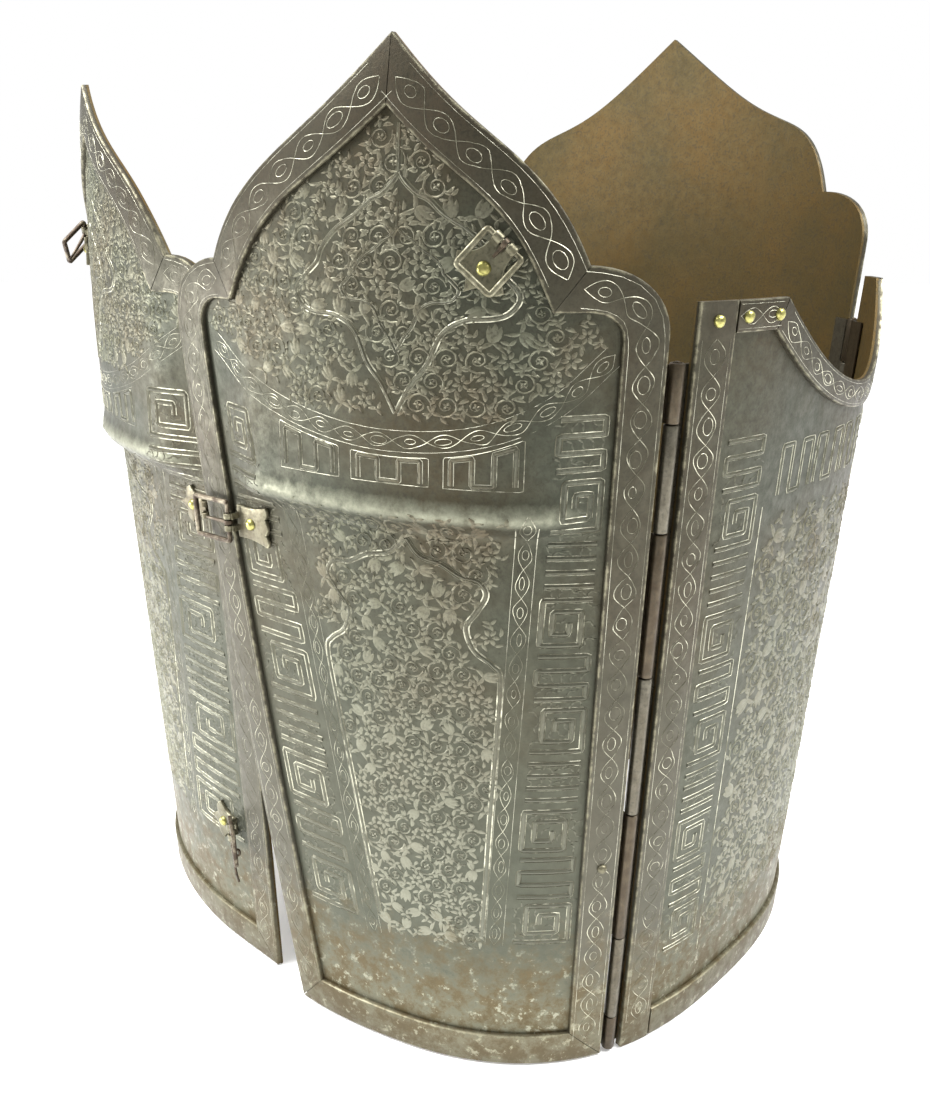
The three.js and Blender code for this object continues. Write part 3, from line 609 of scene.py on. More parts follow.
RIM_LINES = {}
for name in ("front_left", "front_right", "back"):
    plate = PLATES[name]
    outer_sides = crest_sides(plate)
    inner_sides = mitred(outer_sides, RIM_WIDTH)
    RIM_LINES[name] = list(zip(outer_sides, inner_sides))
    cut = [(trimmed(o, MITRE_GAP), trimmed(i, MITRE_GAP)) for o, i in RIM_LINES[name]]
    strips = [strip_part(plate, outer, inner, RIM_STATIONS) for outer, inner in cut]
    rim = write_piece(f"rim_{name}_strips", strips, [RIM_STEEL])
    dress(rim, "rim_steel", f"rim_{name}")
    print(rim.name, [round(length_of(o)) for o, _ in RIM_LINES[name]], "mm a side")

# %% [markdown]
# On the side plates the strips are separate: two uprights, a foot strip, a short shoulder strip and one
# bent round the arm opening, which meets the shoulder strip in a mitre. They butt with a small gap.

# %% Side strips
STRIP_JOINT = 0.4


def arm_lines():
    """The opening's edge, and the strip's inner line from its mitre with the shoulder to the aft upright."""
    w = np.linspace(ARM.fore, ARM.aft, 1600)
    inner = arm_edge(w, ARM.band)
    fore = (w > ARM.low) | (inner[:, 1] < ARM.top - ARM.band)
    return arm_edge(w)[3:-3], inner[fore & (inner[:, 0] < ARM.aft - STRIP_JOINT)]


def straight(w0, z0, w1, z1):
    """A straight line of 200 points."""
    return np.stack([np.linspace(w0, w1, 200), np.linspace(z0, z1, 200)], 1)


def side_strip_lines(plate):
    """Outer and inner line of each strip, outer on the right of its direction."""
    first, last = float(plate.first(0)), float(plate.last(0))
    fore, aft = first + RIM_WIDTH, last - RIM_WIDTH
    low, high = ARM.top - ARM.band, ARM.top
    arm_outer, arm_inner = arm_lines()
    a, b = fore + STRIP_JOINT, aft - STRIP_JOINT
    mitre = arm_inner[0, 0] - STRIP_JOINT
    return {
        "fore": (straight(first, high, first, FOOT_CLEAR), straight(fore, high, fore, FOOT_CLEAR)),
        "aft": (straight(last, FOOT_CLEAR, last, high), straight(aft, FOOT_CLEAR, aft, high)),
        "foot": (straight(a, FOOT_CLEAR, b, FOOT_CLEAR), straight(a, RIM_WIDTH, b, RIM_WIDTH)),
        "shoulder": (straight(ARM.fore, high, a, high), straight(mitre, low, a, low)),
        "arm": (arm_outer[::-1], arm_inner[::-1]),
    }


for name in ("side_left", "side_right"):
    RIM_LINES[name] = side_strip_lines(PLATES[name])
    for piece, (outer, inner) in RIM_LINES[name].items():
        stations = max(8, round(length_of(outer) / 4))
        bar = strip_part(PLATES[name], outer, inner, stations)
        strip = write_piece(f"rim_{name}_{piece}_strip", [bar], [RIM_STEEL])
        dress(strip, "rim_steel", f"rim_{name}_{piece}")
    print("strips on", name, ":", len(RIM_LINES[name]))

# %% [markdown]
# Silver wire is drawn as low three-sided ribbons: a path on the plate, a width, and a crest a little above
# the surface. Many paths of the same number of points are laid at once.

# %% Ribbons
SINK, CHAIN_WIRE, EDGE_WIRE, EYE_STEPS = 0.12, 0.22, 0.2, 12


def ribbons(plate, paths, half, lift, height, loop=False, slot=0):
    """For each path: foot points half a width to the right and left, and a crest between them."""
    paths = np.asarray(paths, float)
    padded = np.concatenate([paths[:, -1:], paths, paths[:, :1]], 1) if loop else paths
    along = np.gradient(padded, axis=1)
    along = unit((along[:, 1:-1] if loop else along) + 1e-9)
    side = left_of(along) * np.asarray(half)[..., None]
    wz = np.stack([paths - side, paths, paths + side], 2)
    lift = np.asarray(lift)[..., None] + np.array([-SINK, height, -SINK])
    points = surface(plate, wz[..., 0], wz[..., 1], np.broadcast_to(lift, wz.shape[:-1]))
    return part(points, tube_faces(*wz.shape[:3], loop), plate.side < 0, slot)


def beside(paths, offset):
    """Paths moved sideways by an offset that may change along them, positive to their left."""
    along = unit(np.gradient(paths, axis=-2) + 1e-9)
    return paths + np.asarray(offset)[..., None] * left_of(along)


def chain(plate, line, half, eye, lift, border):
    """Two waves of opposite sign, half a wave to each eye, a ring in each eye and a line on each side."""
    run = length_of(line)
    eyes = max(1, round(run / eye))
    count = eyes * EYE_STEPS + 1
    centre = resample(line, count)
    knots = np.arange(0, count + 3, 4)
    shake = random.normal(0, 0.1 * half, (2, len(knots)))
    sway = np.stack([np.interp(np.arange(count), knots, row) for row in shake])
    wave = half * np.sin(np.linspace(0, eyes * np.pi, count))
    waves = np.stack([beside(centre, wave + sway[0]), beside(centre, sway[1] - wave)])
    spots = resample(line, 2 * eyes + 1)
    along = unit(np.gradient(spots, axis=0))[1::2, None]
    across = left_of(along)
    turn = np.linspace(0, 2 * np.pi, 13)[:-1, None]
    size = random.uniform(0.65, 1.1, (2, eyes, 1, 1))
    drift = random.normal(0, 0.09 * half, (eyes, 1, 2))
    ring = size[0] * along * np.cos(turn) * 0.24 * run / eyes
    ring = ring + size[1] * across * np.sin(turn) * 0.55 * half
    edges = np.stack([beside(resample(line, max(6, round(run / 5))), s * border) for s in (1, -1)])
    return [
        ribbons(plate, waves, CHAIN_WIRE, lift, 0.1),
        ribbons(plate, spots[1::2, None] + ring + drift, CHAIN_WIRE, lift, 0.1, loop=True),
        ribbons(plate, edges, EDGE_WIRE, lift, 0.06, slot=1),
    ]


print("ribbon tools ready")

# %% [markdown]
# The rims carry a chain: two wires that cross and open into eyes, with an oval ring in each eye. The foot
# strips have been rubbed bare, so the chain runs only on the uprights, the crest and the arm.

# %% Chains on the rims
def middle_of(outer, inner):
    """The line half way between a strip's two edges, in 300 points."""
    return (resample(outer, 300) + resample(inner, 300)) / 2


inlay = {name: [] for name in PLATES}
for name in ("front_left", "front_right", "back"):
    for outer, inner in RIM_LINES[name][1:]:
        middle = middle_of(outer, inner)
        cut = max(1, int(300 * 4.0 / length_of(middle)))
        inlay[name] += chain(PLATES[name], middle[cut:-cut], 3.8, 13.5, RIM_HIGH, 6.2)
for name in ("side_left", "side_right"):
    for piece in ("fore", "aft", "shoulder", "arm"):
        start, half = (12, 4.0) if piece in ("fore", "aft") else (8, 3.0)
        middle = middle_of(*RIM_LINES[name][piece])[start:-start]
        inlay[name] += chain(PLATES[name], middle, half, 13.0, RIM_HIGH, 1.5 * half)
print("chain parts:", {name: len(parts) for name, parts in inlay.items()})

# %% [markdown]
# The field of a front plate is divided by narrower chains: a smiling band under the crest, and two strips
# that run down beside the middle panel. A lobed arch fills the panel, and a cusped medallion the crest.

# %% Bands, arch and medallion
FIELD, BAR_HEIGHT, BAR_SHOULDER = FACE, 0.45, 0.85


def smooth_line(points, count):
    """A soft curve through given points: Catmull-Rom, a cubic between each pair."""
    p = np.asarray(points, float)
    p = np.vstack([2 * p[0] - p[1], p, 2 * p[-1] - p[-2]])
    t = np.linspace(0, 1, 25)[:, None, None]
    a, b, c, d = p[None, :-3], p[None, 1:-2], p[None, 2:-1], p[None, 3:]
    curve = 0.5 * (2 * b + (c - a) * t + (2 * a - 5 * b + 4 * c - d) * t**2 + (3 * b - a - 3 * c + d) * t**3)
    return resample(curve.transpose(1, 0, 2).reshape(-1, 2), count)


ARCH = [(101.8, 253.5), (107, 247), (115.2, 244.5), (122.4, 240), (129, 238.5), (132, 233), (128.5, 225.5),
        (124.8, 218.5), (128, 209), (135, 203), (138, 196), (137, 165), (135.5, 133), (134.4, 100),
        (133.2, 70)]
CUSPS = [(101.5, 403.5), (101.4, 394), (101, 387), (96, 381), (91.3, 378.5), (86.1, 373.5), (78.1, 368),
         (73, 362), (71, 357), (66, 352), (62.1, 346.5), (65, 341), (70, 339), (79, 338), (86.2, 333),
         (91, 322), (96.3, 314.5), (101.5, 304)]
SMILE = [(14, 323), (45, 305), (75, 296), (102, 293.5), (130, 297), (153, 308), (172, 326)]
HEART = np.array([101.5, 350.0])


def lay_out(left_low, left_high):
    """Named lines of a front plate's field. The strip by the front edge leans with that edge."""
    smile = smooth_line(SMILE, 160)
    strips = [straight(left_high, 262, left_low, 58), straight(146, 268, 138.5, 66)]
    right = smooth_line(ARCH, 150)
    edges = [np.interp(right[:, 1], strip[::-1, 1], strip[::-1, 0]) for strip in strips]
    share = (right[:, 0] - HEART[0]) / (edges[1] - 5.5 - HEART[0])
    left = np.stack([HEART[0] - share * (HEART[0] - edges[0] - 5.5), right[:, 1]], 1)
    half = smooth_line(CUSPS, 130)
    mirror = np.stack([2 * HEART[0] - half[:, 0], half[:, 1]], 1)
    arch, medallion = np.stack([right, left]), np.stack([half, mirror])
    return SimpleNamespace(smile=smile, strips=strips, arch=arch, medallion=medallion)


def ridge(plate, paths, half, slot=1, wire=0.2):
    """A raised bar along each path, with a thin silver line on each of its shoulders."""
    bar = ribbons(plate, paths, half, FIELD, BAR_HEIGHT, slot=2)
    shoulders = [beside(paths, s * BAR_SHOULDER * half) for s in (1, -1)]
    return [bar] + [ribbons(plate, line, wire, FIELD + 0.1, 0.12, slot=slot) for line in shoulders]


LAYOUT = {"front_left": lay_out(82.0, 47.7), "front_right": lay_out(62.0, 47.7)}
for name, lines in LAYOUT.items():
    plate = PLATES[name]
    inlay[name] += chain(plate, lines.smile, 2.6, 11.5, FIELD, 4.0)
    for strip in lines.strips:
        inlay[name] += chain(plate, strip, 2.4, 12.0, FIELD, 3.8)
    inlay[name] += ridge(plate, lines.arch, 1.1, 0, 0.34)
    inlay[name] += ridge(plate, lines.medallion, 0.95, 0, 0.3)
    inlay[name] += ridge(plate, HEART + (lines.medallion - HEART) * 0.52, 0.6)
print("field lines on", ", ".join(LAYOUT))

# %% [markdown]
# Bands beside the panel hold a key fret: square spirals, battlements and bars, raised and edged with silver.
# A fret is drawn once in a unit square, then carried into each cell of a band by a map to (w, z).

# %% Key frets
KEY = np.array([(0, 0), (1, 0), (1, 1), (.2, 1), (.2, .25), (.78, .25), (.78, .75), (.44, .75), (.44, .5)])
STEP = np.array([(0, 0), (0, 1), (.33, 1), (.33, 0), (.67, 0), (.67, 1), (1, 1), (1, 0)])
BAR = np.array([(0, 0), (1, 0)])
FRAME = np.array([(0, 0), (1, 0), (1, 1), (0, 1), (0, 0)])


def fret_band(low_edge, high_edge, z0, z1, cells):
    """Cells up a band between two edges, in turn a key, a battlement on its side, a key turned over, bars."""
    key, step, bar = resample(KEY, 80), resample(STEP, 80)[:, ::-1], resample(BAR, 10)
    shapes = [(key,), (step,), (1 - key,), tuple(bar + [0, y] for y in (0.05, 0.35, 0.65, 0.95))]
    place = lambda shape, k: (shape[:, 0], lerp(z0, z1, (k + 0.1 + 0.8 * shape[:, 1]) / cells))
    laid = [place(shape, k) for k in range(cells) for shape in shapes[k % 4]]
    paths = [np.stack([lerp(low_edge(z), high_edge(z), 0.06 + 0.88 * x), z], 1) for x, z in laid]
    return [np.stack([path for path in paths if len(path) == count]) for count in (80, 10)]


def strip_edge(strip, gap):
    """w of a leaning strip at any height, plus a gap."""
    top, foot = strip[0], strip[-1]
    return lambda z: lerp(foot[0], top[0], (z - foot[1]) / (top[1] - foot[1])) + gap


def smile_height(lines, w):
    """Height of the smiling band above w."""
    return np.interp(w, lines.smile[:, 0], lines.smile[:, 1])


fret_paths = {name: [] for name in PLATES}
for name, lines in LAYOUT.items():
    plate = PLATES[name]
    front_edge = lambda z, plate=plate: plate.first(z) + RIM_WIDTH + 3.0
    hinge_edge = lambda z: FRONT_LAST - RIM_WIDTH - 2.0 + 0 * z
    fore = front_edge, strip_edge(lines.strips[0], -6.5)
    aft = strip_edge(lines.strips[1], 6.5), hinge_edge
    for edges, foot, head, cells, wire in ((fore, 62.0, 300.0, 9, 0.3), (aft, 66.0, 306.0, 10, 0.2)):
        bands = fret_band(*edges, foot, head, cells)
        fret_paths[name].append((bands, *edges))
        for paths in bands:
            inlay[name] += ridge(plate, paths, 1.25, 0, wire)
    panels, frames = [], []
    for w0, w1 in ((52, 79), (84, 113), (118, 144)):
        for shape, group, inset in ((resample(STEP, 80), panels, 0.1), (resample(FRAME, 60), frames, 0.0)):
            across, up = lerp(inset, 1 - inset, shape).T
            w = lerp(w0, w1, across)
            group.append(np.stack([w, lerp(277.0, smile_height(lines, w) - 6.0, up)], 1))
    inlay[name] += ridge(plate, np.stack(panels), 1.0, 1, 0.16)
    inlay[name].append(ribbons(plate, np.stack(frames), 0.22, FIELD, 0.12, slot=1))
print("frets laid")

# %% [markdown]
# The side plates carry the same language, more rubbed: a fret band beside each upright, a fret across the
# top, and a tall panel of leaves. The back plate, which hangs behind, repeats the front's crest and bands.

# %% Side and back fields
side_first = float(SIDE_ENDS[0](0)) + RIM_WIDTH
side_last = float(SIDE_ENDS[1](0)) - RIM_WIDTH
for name in ("side_left", "side_right"):
    plate = PLATES[name]
    for low, high in ((side_first + 4, side_first + 27), (side_last - 27, side_last - 4)):
        bands = fret_band(level(low), level(high), 44.0, 292.0, 10)
        fret_paths[name].append((bands, level(low), level(high)))
        for paths in bands:
            inlay[name] += ridge(plate, paths, 1.15, 1, 0.15)
    for w in (side_first + 31, side_last - 31):
        inlay[name].append(ribbons(plate, straight(w, 34, w, 262)[None, ::4], 0.4, FIELD, 0.18, slot=1))
    step = resample(STEP, 80)
    cells = [lerp(side_first + 38, side_last - 38, (k + 0.08 + 0.84 * step[:, 0]) / 3) for k in range(3)]
    row = np.stack([np.stack([w, lerp(262.0, 283.0, step[:, 1])], 1) for w in cells])
    inlay[name] += ridge(plate, row, 1.15, 1, 0.15)
plate = PLATES["back"]
back_first, back_last = BACK_FIRST + RIM_WIDTH, 2 * HALF_GIRTH - BACK_FIRST - RIM_WIDTH
for low, high in ((back_first + 4, back_first + 34), (back_last - 34, back_last - 4)):
    for paths in fret_band(level(low), level(high), 30.0, 340.0, 10):
        inlay["back"] += ridge(plate, paths, 1.25)
for w in (back_first + 40, back_last - 40):
    inlay["back"] += chain(plate, straight(w, 30, w, 300), 2.4, 12.0, FIELD, 3.8)
smile = smooth_line([(back_first + 8, 352), (back_first + 60, 318), (HALF_GIRTH, 306),
                     (back_last - 60, 318), (back_last - 8, 352)], 200)
inlay["back"] += chain(plate, smile, 2.6, 12.0, FIELD, 4.0)

for name, parts in inlay.items():
    piece = write_piece(f"inlay_{name}", parts, [SILVER, FAINT_SILVER, FRET_STEEL])
    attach(piece, body_of(f"plate_{name}"))
    print(piece.name, len(piece.data.polygons), "faces")

# %% [markdown]
# The panels are filled with low raised ornament: stems that wind in to a blossom, closed buds and open
# flowers, each with curling leaves. They stand close together on a honeycomb, and small leaves fill the gaps
# between them and the ground of the fret bands.

# %% Scrolls and leaves
def inside(points, border):
    """Even-odd rule: a point is inside if a line from it crosses the border an odd number of times."""
    a, b = border, np.roll(border, -1, axis=0)
    x, y = points[:, :1], points[:, 1:]
    spans = (a[None, :, 1] > y) != (b[None, :, 1] > y)
    steep = np.where(np.abs(b[:, 1] - a[:, 1]) < 1e-9, 1e-9, b[:, 1] - a[:, 1])
    cross = a[None, :, 0] + (y - a[None, :, 1]) * (b - a)[None, :, 0] / steep[None]
    return (spans & (x < cross)).sum(1) % 2 == 1


def apart(points, line):
    """Distance from each point to the nearest point of a line."""
    return np.linalg.norm(points[:, None] - line[None], axis=2).min(1)


def honeycomb(border, pitch, clear, shift=0.0):
    """Points of a honeycomb inside a border and at least clear away from it."""
    low, high = border.min(0), border.max(0)
    rows = np.arange(low[1] + shift, high[1], pitch * 0.866)
    columns = np.arange(low[0] - pitch, high[0] + pitch, pitch)
    w = columns[None] + (np.arange(len(rows)) % 2)[:, None] * pitch / 2
    centres = np.stack([w, np.repeat(rows[:, None], len(columns), 1)], -1).reshape(-1, 2)
    centres = centres[inside(centres, border)]
    return centres[apart(centres, border) > clear]


def leaf_grid(plate, roots, turns, lengths, widths, bends=0.22, height=0.34):
    """Leaves: width sin(pi t)^0.6 about a midrib that bends a little, crowned along the rib."""
    t = np.linspace(0, 1, 5)[None, :, None]
    breadth = np.sin(np.pi * np.clip(t, 0.04, 0.97)) ** 0.6 * (1.12 - 0.3 * t)
    lengths, widths, turns = (np.asarray(v).reshape(-1, 1, 1) for v in (lengths, widths, turns))
    bends = np.broadcast_to(np.ravel(bends), len(roots))[:, None, None]
    y = bends * t**2 * lengths + 0.5 * widths * breadth * np.array([-1.0, 0.0, 1.0])
    x = np.broadcast_to(t * lengths, y.shape)
    c, s = np.cos(turns), np.sin(turns)
    wz = roots[:, None, None] + np.stack([c * x - s * y, s * x + c * y], -1)
    rise = FIELD + np.array([-SINK, height, -SINK]) * np.ones_like(y)
    points = surface(plate, wz[..., 0], wz[..., 1], rise)
    return part(points, tube_faces(*y.shape), plate.side < 0)


def around(centres, angles, reach):
    """Points at an angle and a distance from each centre, for a table of both."""
    step = np.stack([np.cos(angles), np.sin(angles)], -1) * reach[..., None]
    return (centres[:, None] + step).reshape(-1, 2)


def scrolls(plate, centres, radii):
    """A stem winding in from 0.9 to 0.2 of the radius, seven curling leaves outside, four petals inside."""
    count = len(centres)
    spin = random.uniform(0, 2 * np.pi, (count, 1))
    hand = np.where(random.random((count, 1)) < 0.5, 1.0, -1.0)
    along = np.linspace(0, 1, 18)[None]
    coil = radii * lerp(0.9, 0.2, along**0.8)
    stem = around(centres, spin + hand * along * 2.9 * np.pi, coil).reshape(count, 18, 2)
    k = np.arange(7)[None]
    at = spin + hand * (0.1 + 0.27 * k) * np.pi
    roots = around(centres, at, radii * (0.86 - 0.03 * k))
    size = radii * random.uniform(0.5, 0.75, (count, 7))
    petal = spin + np.arange(4)[None] * 0.5 * np.pi
    small = radii * 0.3 + 0 * petal
    return [
        ribbons(plate, stem, radii * lerp(0.11, 0.07, along), FIELD, 0.34),
        leaf_grid(plate, roots, at + hand * 0.8, size, 0.66 * size, 0.4 * hand + 0 * at),
        leaf_grid(plate, np.repeat(centres, 4, 0), petal, small, 0.9 * small),
    ]


def buds(plate, centres, radii):
    """Three broad petals closing over one another, and two leaves that curl away below them."""
    face = random.uniform(0, 2 * np.pi, (len(centres), 1))
    three = np.array([-0.6, 0.6, 0.0])[None]
    root = around(centres, face + np.pi + 0 * three, radii * 0.4 + 0 * three)
    size = radii * (1.25 - 0.2 * np.abs(three))
    pair = np.array([-1.75, 1.75])[None]
    low = around(centres, face + np.pi + 0 * pair, radii * 0.45 + 0 * pair)
    leaf = radii * 0.95 + 0 * pair
    return [
        leaf_grid(plate, root, face + three, size, 0.56 * size, -0.45 * three + 0 * face),
        leaf_grid(plate, low, face + pair, leaf, 0.5 * leaf, 0.28 * pair + 0 * face),
    ]


def blossoms(plate, centres, radii):
    """Six round petals about an eye, with five leaves curling between them and their neighbours."""
    spin = random.uniform(0, 2 * np.pi, (len(centres), 1))
    six = spin + np.arange(6)[None] * np.pi / 3
    size = radii * 0.52 + 0 * six
    five = spin + 0.4 + np.arange(5)[None] * 0.4 * np.pi
    leaf = radii * 0.62 + 0 * five
    petal_roots = around(centres, six, radii * 0.14 + 0 * six)
    leaf_roots = around(centres, five, radii * 0.66 + 0 * five)
    return [
        leaf_grid(plate, petal_roots, six, size, 0.85 * size, 0.0),
        leaf_grid(plate, leaf_roots, five + 0.9, leaf, 0.62 * leaf, 0.4),
    ]


def fill(plate, border, pitch, channels=None):
    """Three motifs shared out by chance on a honeycomb, clear of the channels, and leaves on a second one."""
    centres = honeycomb(border, pitch, 0.16 * pitch)
    corners = honeycomb(border, pitch, 0.1 * pitch, 0.577 * pitch)
    if channels is not None:
        centres = centres[apart(centres, channels) > 0.18 * pitch]
        corners = corners[apart(corners, channels) > 0.12 * pitch]
    radii = 0.54 * pitch * random.uniform(0.9, 1.08, (len(centres), 1))
    kind = random.choice(3, len(centres), p=[0.5, 0.28, 0.22])
    parts = []
    for number, motif in enumerate((scrolls, buds, blossoms)):
        parts += motif(plate, centres[kind == number], radii[kind == number])
    fan = random.uniform(0, 2 * np.pi, (len(corners), 1)) + np.array([-2.0, 0.0, 2.0])[None]
    size = 0.3 * pitch + 0 * fan
    return parts + [leaf_grid(plate, np.repeat(corners, 3, 0), fan, size, 0.7 * size, 0.3)]


def sprigs(plate, paths, low_edge, high_edge, pitch):
    """Pairs of small bent leaves on a honeycomb between a band's edges, where the bars leave room."""
    bars = np.vstack([path.reshape(-1, 2) for path in paths])
    low, high = bars.min(0) - 1.0, bars.max(0) + 1.0
    border = np.array([low, (high[0], low[1]), high, (low[0], high[1])])
    spots = honeycomb(border, pitch, 0.0)
    w, z = spots.T
    in_band = (w > low_edge(z) + 1.0) & (w < high_edge(z) - 1.0)
    spots = spots[in_band & (apart(spots, bars) > 0.55 * pitch)]
    fan = random.uniform(0, 2 * np.pi, (len(spots), 1)) + np.array([0.0, 2.3])[None]
    size = 0.66 * pitch + 0 * fan
    leaves = leaf_grid(plate, np.repeat(spots, 2, 0), fan, size, 0.55 * size, 0.5, 0.2)
    leaves.slot = 1
    return [leaves]


print("scroll tools ready")

# %% [markdown]
# Each panel's border is a closed line in (w, z), gathered from the lines already drawn: the crest inside its
# rim above the smiling band, and the panel between the strips, which stops where the foot is rubbed bare.

# %% Leaves on the plates
def closed(border):
    """A border joined back to its start and redrawn with 300 points."""
    return resample(np.vstack([border, border[:1]]), 300)


def oblong(w0, w1, z0, z1):
    """A closed panel with upright sides: down the first, up the second."""
    return closed(np.vstack([straight(w0, z1, w0, z0), straight(w1, z0, w1, z1)]))


relief = {name: [] for name in PLATES}
for name, lines in LAYOUT.items():
    plate = PLATES[name]
    inner = [resample(i, 60) for _, i in RIM_LINES[name]]
    above = np.vstack(inner[1:])
    above = above[above[:, 1] > smile_height(lines, above[:, 0]) + 7]
    crest = np.vstack([above, lines.smile + [0.0, 6.0]])
    relief[name] += fill(plate, crest, 9.6, lines.medallion.reshape(-1, 2))
    left, right = lines.strips
    panel = np.vstack([left[::6] + [6.0, 0.0], right[::-6] - [6.0, 0.0]])
    relief[name] += fill(plate, closed(panel), 10.0, lines.arch.reshape(-1, 2))
for name in ("side_left", "side_right"):
    relief[name] += fill(PLATES[name], oblong(side_first + 33, side_last - 33, 40, 252), 13.0)
relief["back"] += fill(PLATES["back"], oblong(back_first + 46, back_last - 46, 34, 296), 17.0)
inner = np.vstack([resample(i, 80) for _, i in RIM_LINES["back"]][1:])
over = np.interp(inner[:, 0], smile[:, 0], smile[:, 1])
crest = np.vstack([inner[inner[:, 1] > over + 6], smile + [0.0, 5.0]])
relief["back"] += fill(PLATES["back"], crest, 17.0)
for name, bands in fret_paths.items():
    for paths, low_edge, high_edge in bands:
        relief[name] += sprigs(PLATES[name], paths, low_edge, high_edge, 3.8 if name in LAYOUT else 4.6)
for name, parts in relief.items():
    piece = write_piece(f"relief_{name}", parts, [RELIEF_STEEL, FRET_STEEL], sharp=60.0)
    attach(piece, body_of(f"plate_{name}"))
    print(piece.name, len(piece.data.polygons), "faces")

# %% [markdown]
# A hinge is a pair of leaves under the plates, rolled into knuckles that take turns on one pin. The knuckles
# are turned bodies with softened ends, so that the joints between them show as fine dark rings.

# %% Hinges
KNUCKLES = [1, 20, 65, 130, 195, 257, 300, 323]
TUBE, BORE, PIN, END_PLAY = 3.0, 1.75, 1.2, 0.2
LEAF = SimpleNamespace(near=4.0, far=16.0, top=-1.1, low=-2.1, foot=2.0, head=322.0)
ROD = np.array([(0.02, 0.6), (PIN * 0.8, 0.7), (PIN, 1.2), (PIN, 322.8), (PIN * 0.8, 323.3), (0.02, 323.4)])


def hinge_frame(girth, toward):
    """Origin at the foot; x towards the leaf's plate, y outward, z up the pin."""
    foot = wall(girth, 0.0)
    axis = unit(wall(girth, CHEST_HEIGHT) - foot)
    reach = wall(girth + toward * 14.0, CHEST_HEIGHT / 2) - wall(girth, CHEST_HEIGHT / 2)
    x = unit(reach - axis * (reach @ axis))
    y = np.cross(axis, x) * (-1 if toward > 0 else 1)
    return foot, np.stack([x, y, axis])


def turned(profile, sides):
    """A ring of (radius, height) points carried round the z axis."""
    turn = np.linspace(0, 2 * np.pi, sides, endpoint=False)[:, None]
    radius, height = profile[None, :, 0], profile[None, :, 1] + 0 * turn
    return np.stack([radius * np.cos(turn), radius * np.sin(turn), height], -1)


def knuckle(z0, z1):
    """A tube's wall as a closed profile: outside with rounded ends, then back down the bore."""
    soft = np.array([(0.55, 0.0), (0.14, 0.22), (0.0, 0.7)])
    up = np.stack([TUBE - soft[:, 0], z0 + soft[:, 1]], 1)
    down = np.stack([TUBE - soft[::-1, 0], z1 - soft[::-1, 1]], 1)
    bore = np.array([(BORE, z1), (BORE, z0)])
    return turned(np.vstack([up, down, bore]), 24)


def box_part(low, high, stations=12):
    """A bar with a softened four-sided section carried along z."""
    (x0, y0, z0), (x1, y1, z1) = low, high
    soft = 0.18
    section = np.array([(x0 + soft, y0), (x1 - soft, y0), (x1, y0 + soft), (x1, y1 - soft), (x1 - soft, y1),
                        (x0 + soft, y1), (x0, y1 - soft), (x0, y0 + soft)])
    z = np.linspace(z0, z1, stations)
    ring = np.concatenate([np.repeat(section[None], stations, 0), np.repeat(z[:, None, None], 8, 1)], -1)
    faces = tube_faces(1, stations, 8)
    return ring, [f[:, ::-1] for f in faces]


def settle(local, origin, axes):
    """Local points moved into a frame."""
    return origin + np.asarray(local).reshape(-1, 3) @ axes


HINGES = {"front_left": (HINGE_W["front"], -1), "front_right": (-HINGE_W["front"], 1),
          "back_left": (HINGE_W["back"], -1), "back_right": (-HINGE_W["back"], 1)}
for name, (girth, fore_toward) in HINGES.items():
    for first_knuckle, owner in enumerate(("fore", "aft")):
        origin, axes = hinge_frame(girth, fore_toward if owner == "fore" else -fore_toward)
        mirror = np.linalg.det(axes) < 0
        leaf, leaf_faces = box_part((LEAF.near, LEAF.low, LEAF.foot), (LEAF.far, LEAF.top, LEAF.head), 40)
        parts = [part(settle(leaf, origin, axes), leaf_faces, not mirror)]
        for k in range(first_knuckle, 7, 2):
            low, high = KNUCKLES[k] + END_PLAY, KNUCKLES[k + 1] - END_PLAY
            tube = knuckle(low, high)
            tube_skin = tube_faces(1, 24, tube.shape[1], loop=True)
            parts.append(part(settle(tube, origin, axes), tube_skin, mirror))
            web_low = 2.4, LEAF.low, max(low, LEAF.foot)
            web, web_faces = box_part(web_low, (5.0, LEAF.top, min(high, LEAF.head)), 4)
            parts.append(part(settle(web, origin, axes), web_faces, not mirror))
        metal = HINGE_STEEL if owner == "fore" else PALE_HINGE_STEEL
        piece = write_piece(f"hinge_{name}_{owner}", parts, [metal])
        dress(piece, "hinge_steel", f"hinge_{name}_{owner}_leaf")
    origin, axes = hinge_frame(girth, 1)
    rod = settle(turned(ROD, 16), origin, axes)
    rod_part = part(rod, tube_faces(1, 16, len(ROD), loop=True), np.linalg.det(axes) < 0)
    pin = write_piece(f"hinge_{name}_rod", [rod_part], [HINGE_STEEL])
    dress(pin, "hinge_steel", f"hinge_{name}_pin")
print("hinges:", len(HINGES))

# %% [markdown]
# Buckles are forged: a sheet cut to a leaf, rolled over a bar at one edge and riveted to the plate, with a
# square frame that swings on the bar. Each is drawn flat round its bar, then set on its plate.

# %% Buckle shapes
BUCKLE = SimpleNamespace(sheet=1.0, roll=2.0, bore=1.3, bar=0.9, wire=2.2, prong=2.0, hook=0.7)
ROLL_WALL = (BUCKLE.bore + BUCKLE.roll) / 2


def seat_on(plate, w, z, offset, turn):
    """A frame on a plate: x along it, y up it, z outward, then turned in its own plane."""
    at = lambda dw, dz: surface(plate, w + dw, z + dz, 0.0)
    x = unit(at(2, 0) - at(-2, 0))
    out = unit(np.cross(x, unit(at(0, 2) - at(0, -2)))) * plate.side
    along = x * plate.side
    up = np.cross(out, along)
    c, s = np.cos(plate.side * turn), np.sin(plate.side * turn)
    return at(0, 0) + out * offset, np.stack([c * along + s * up, c * up - s * along, out])


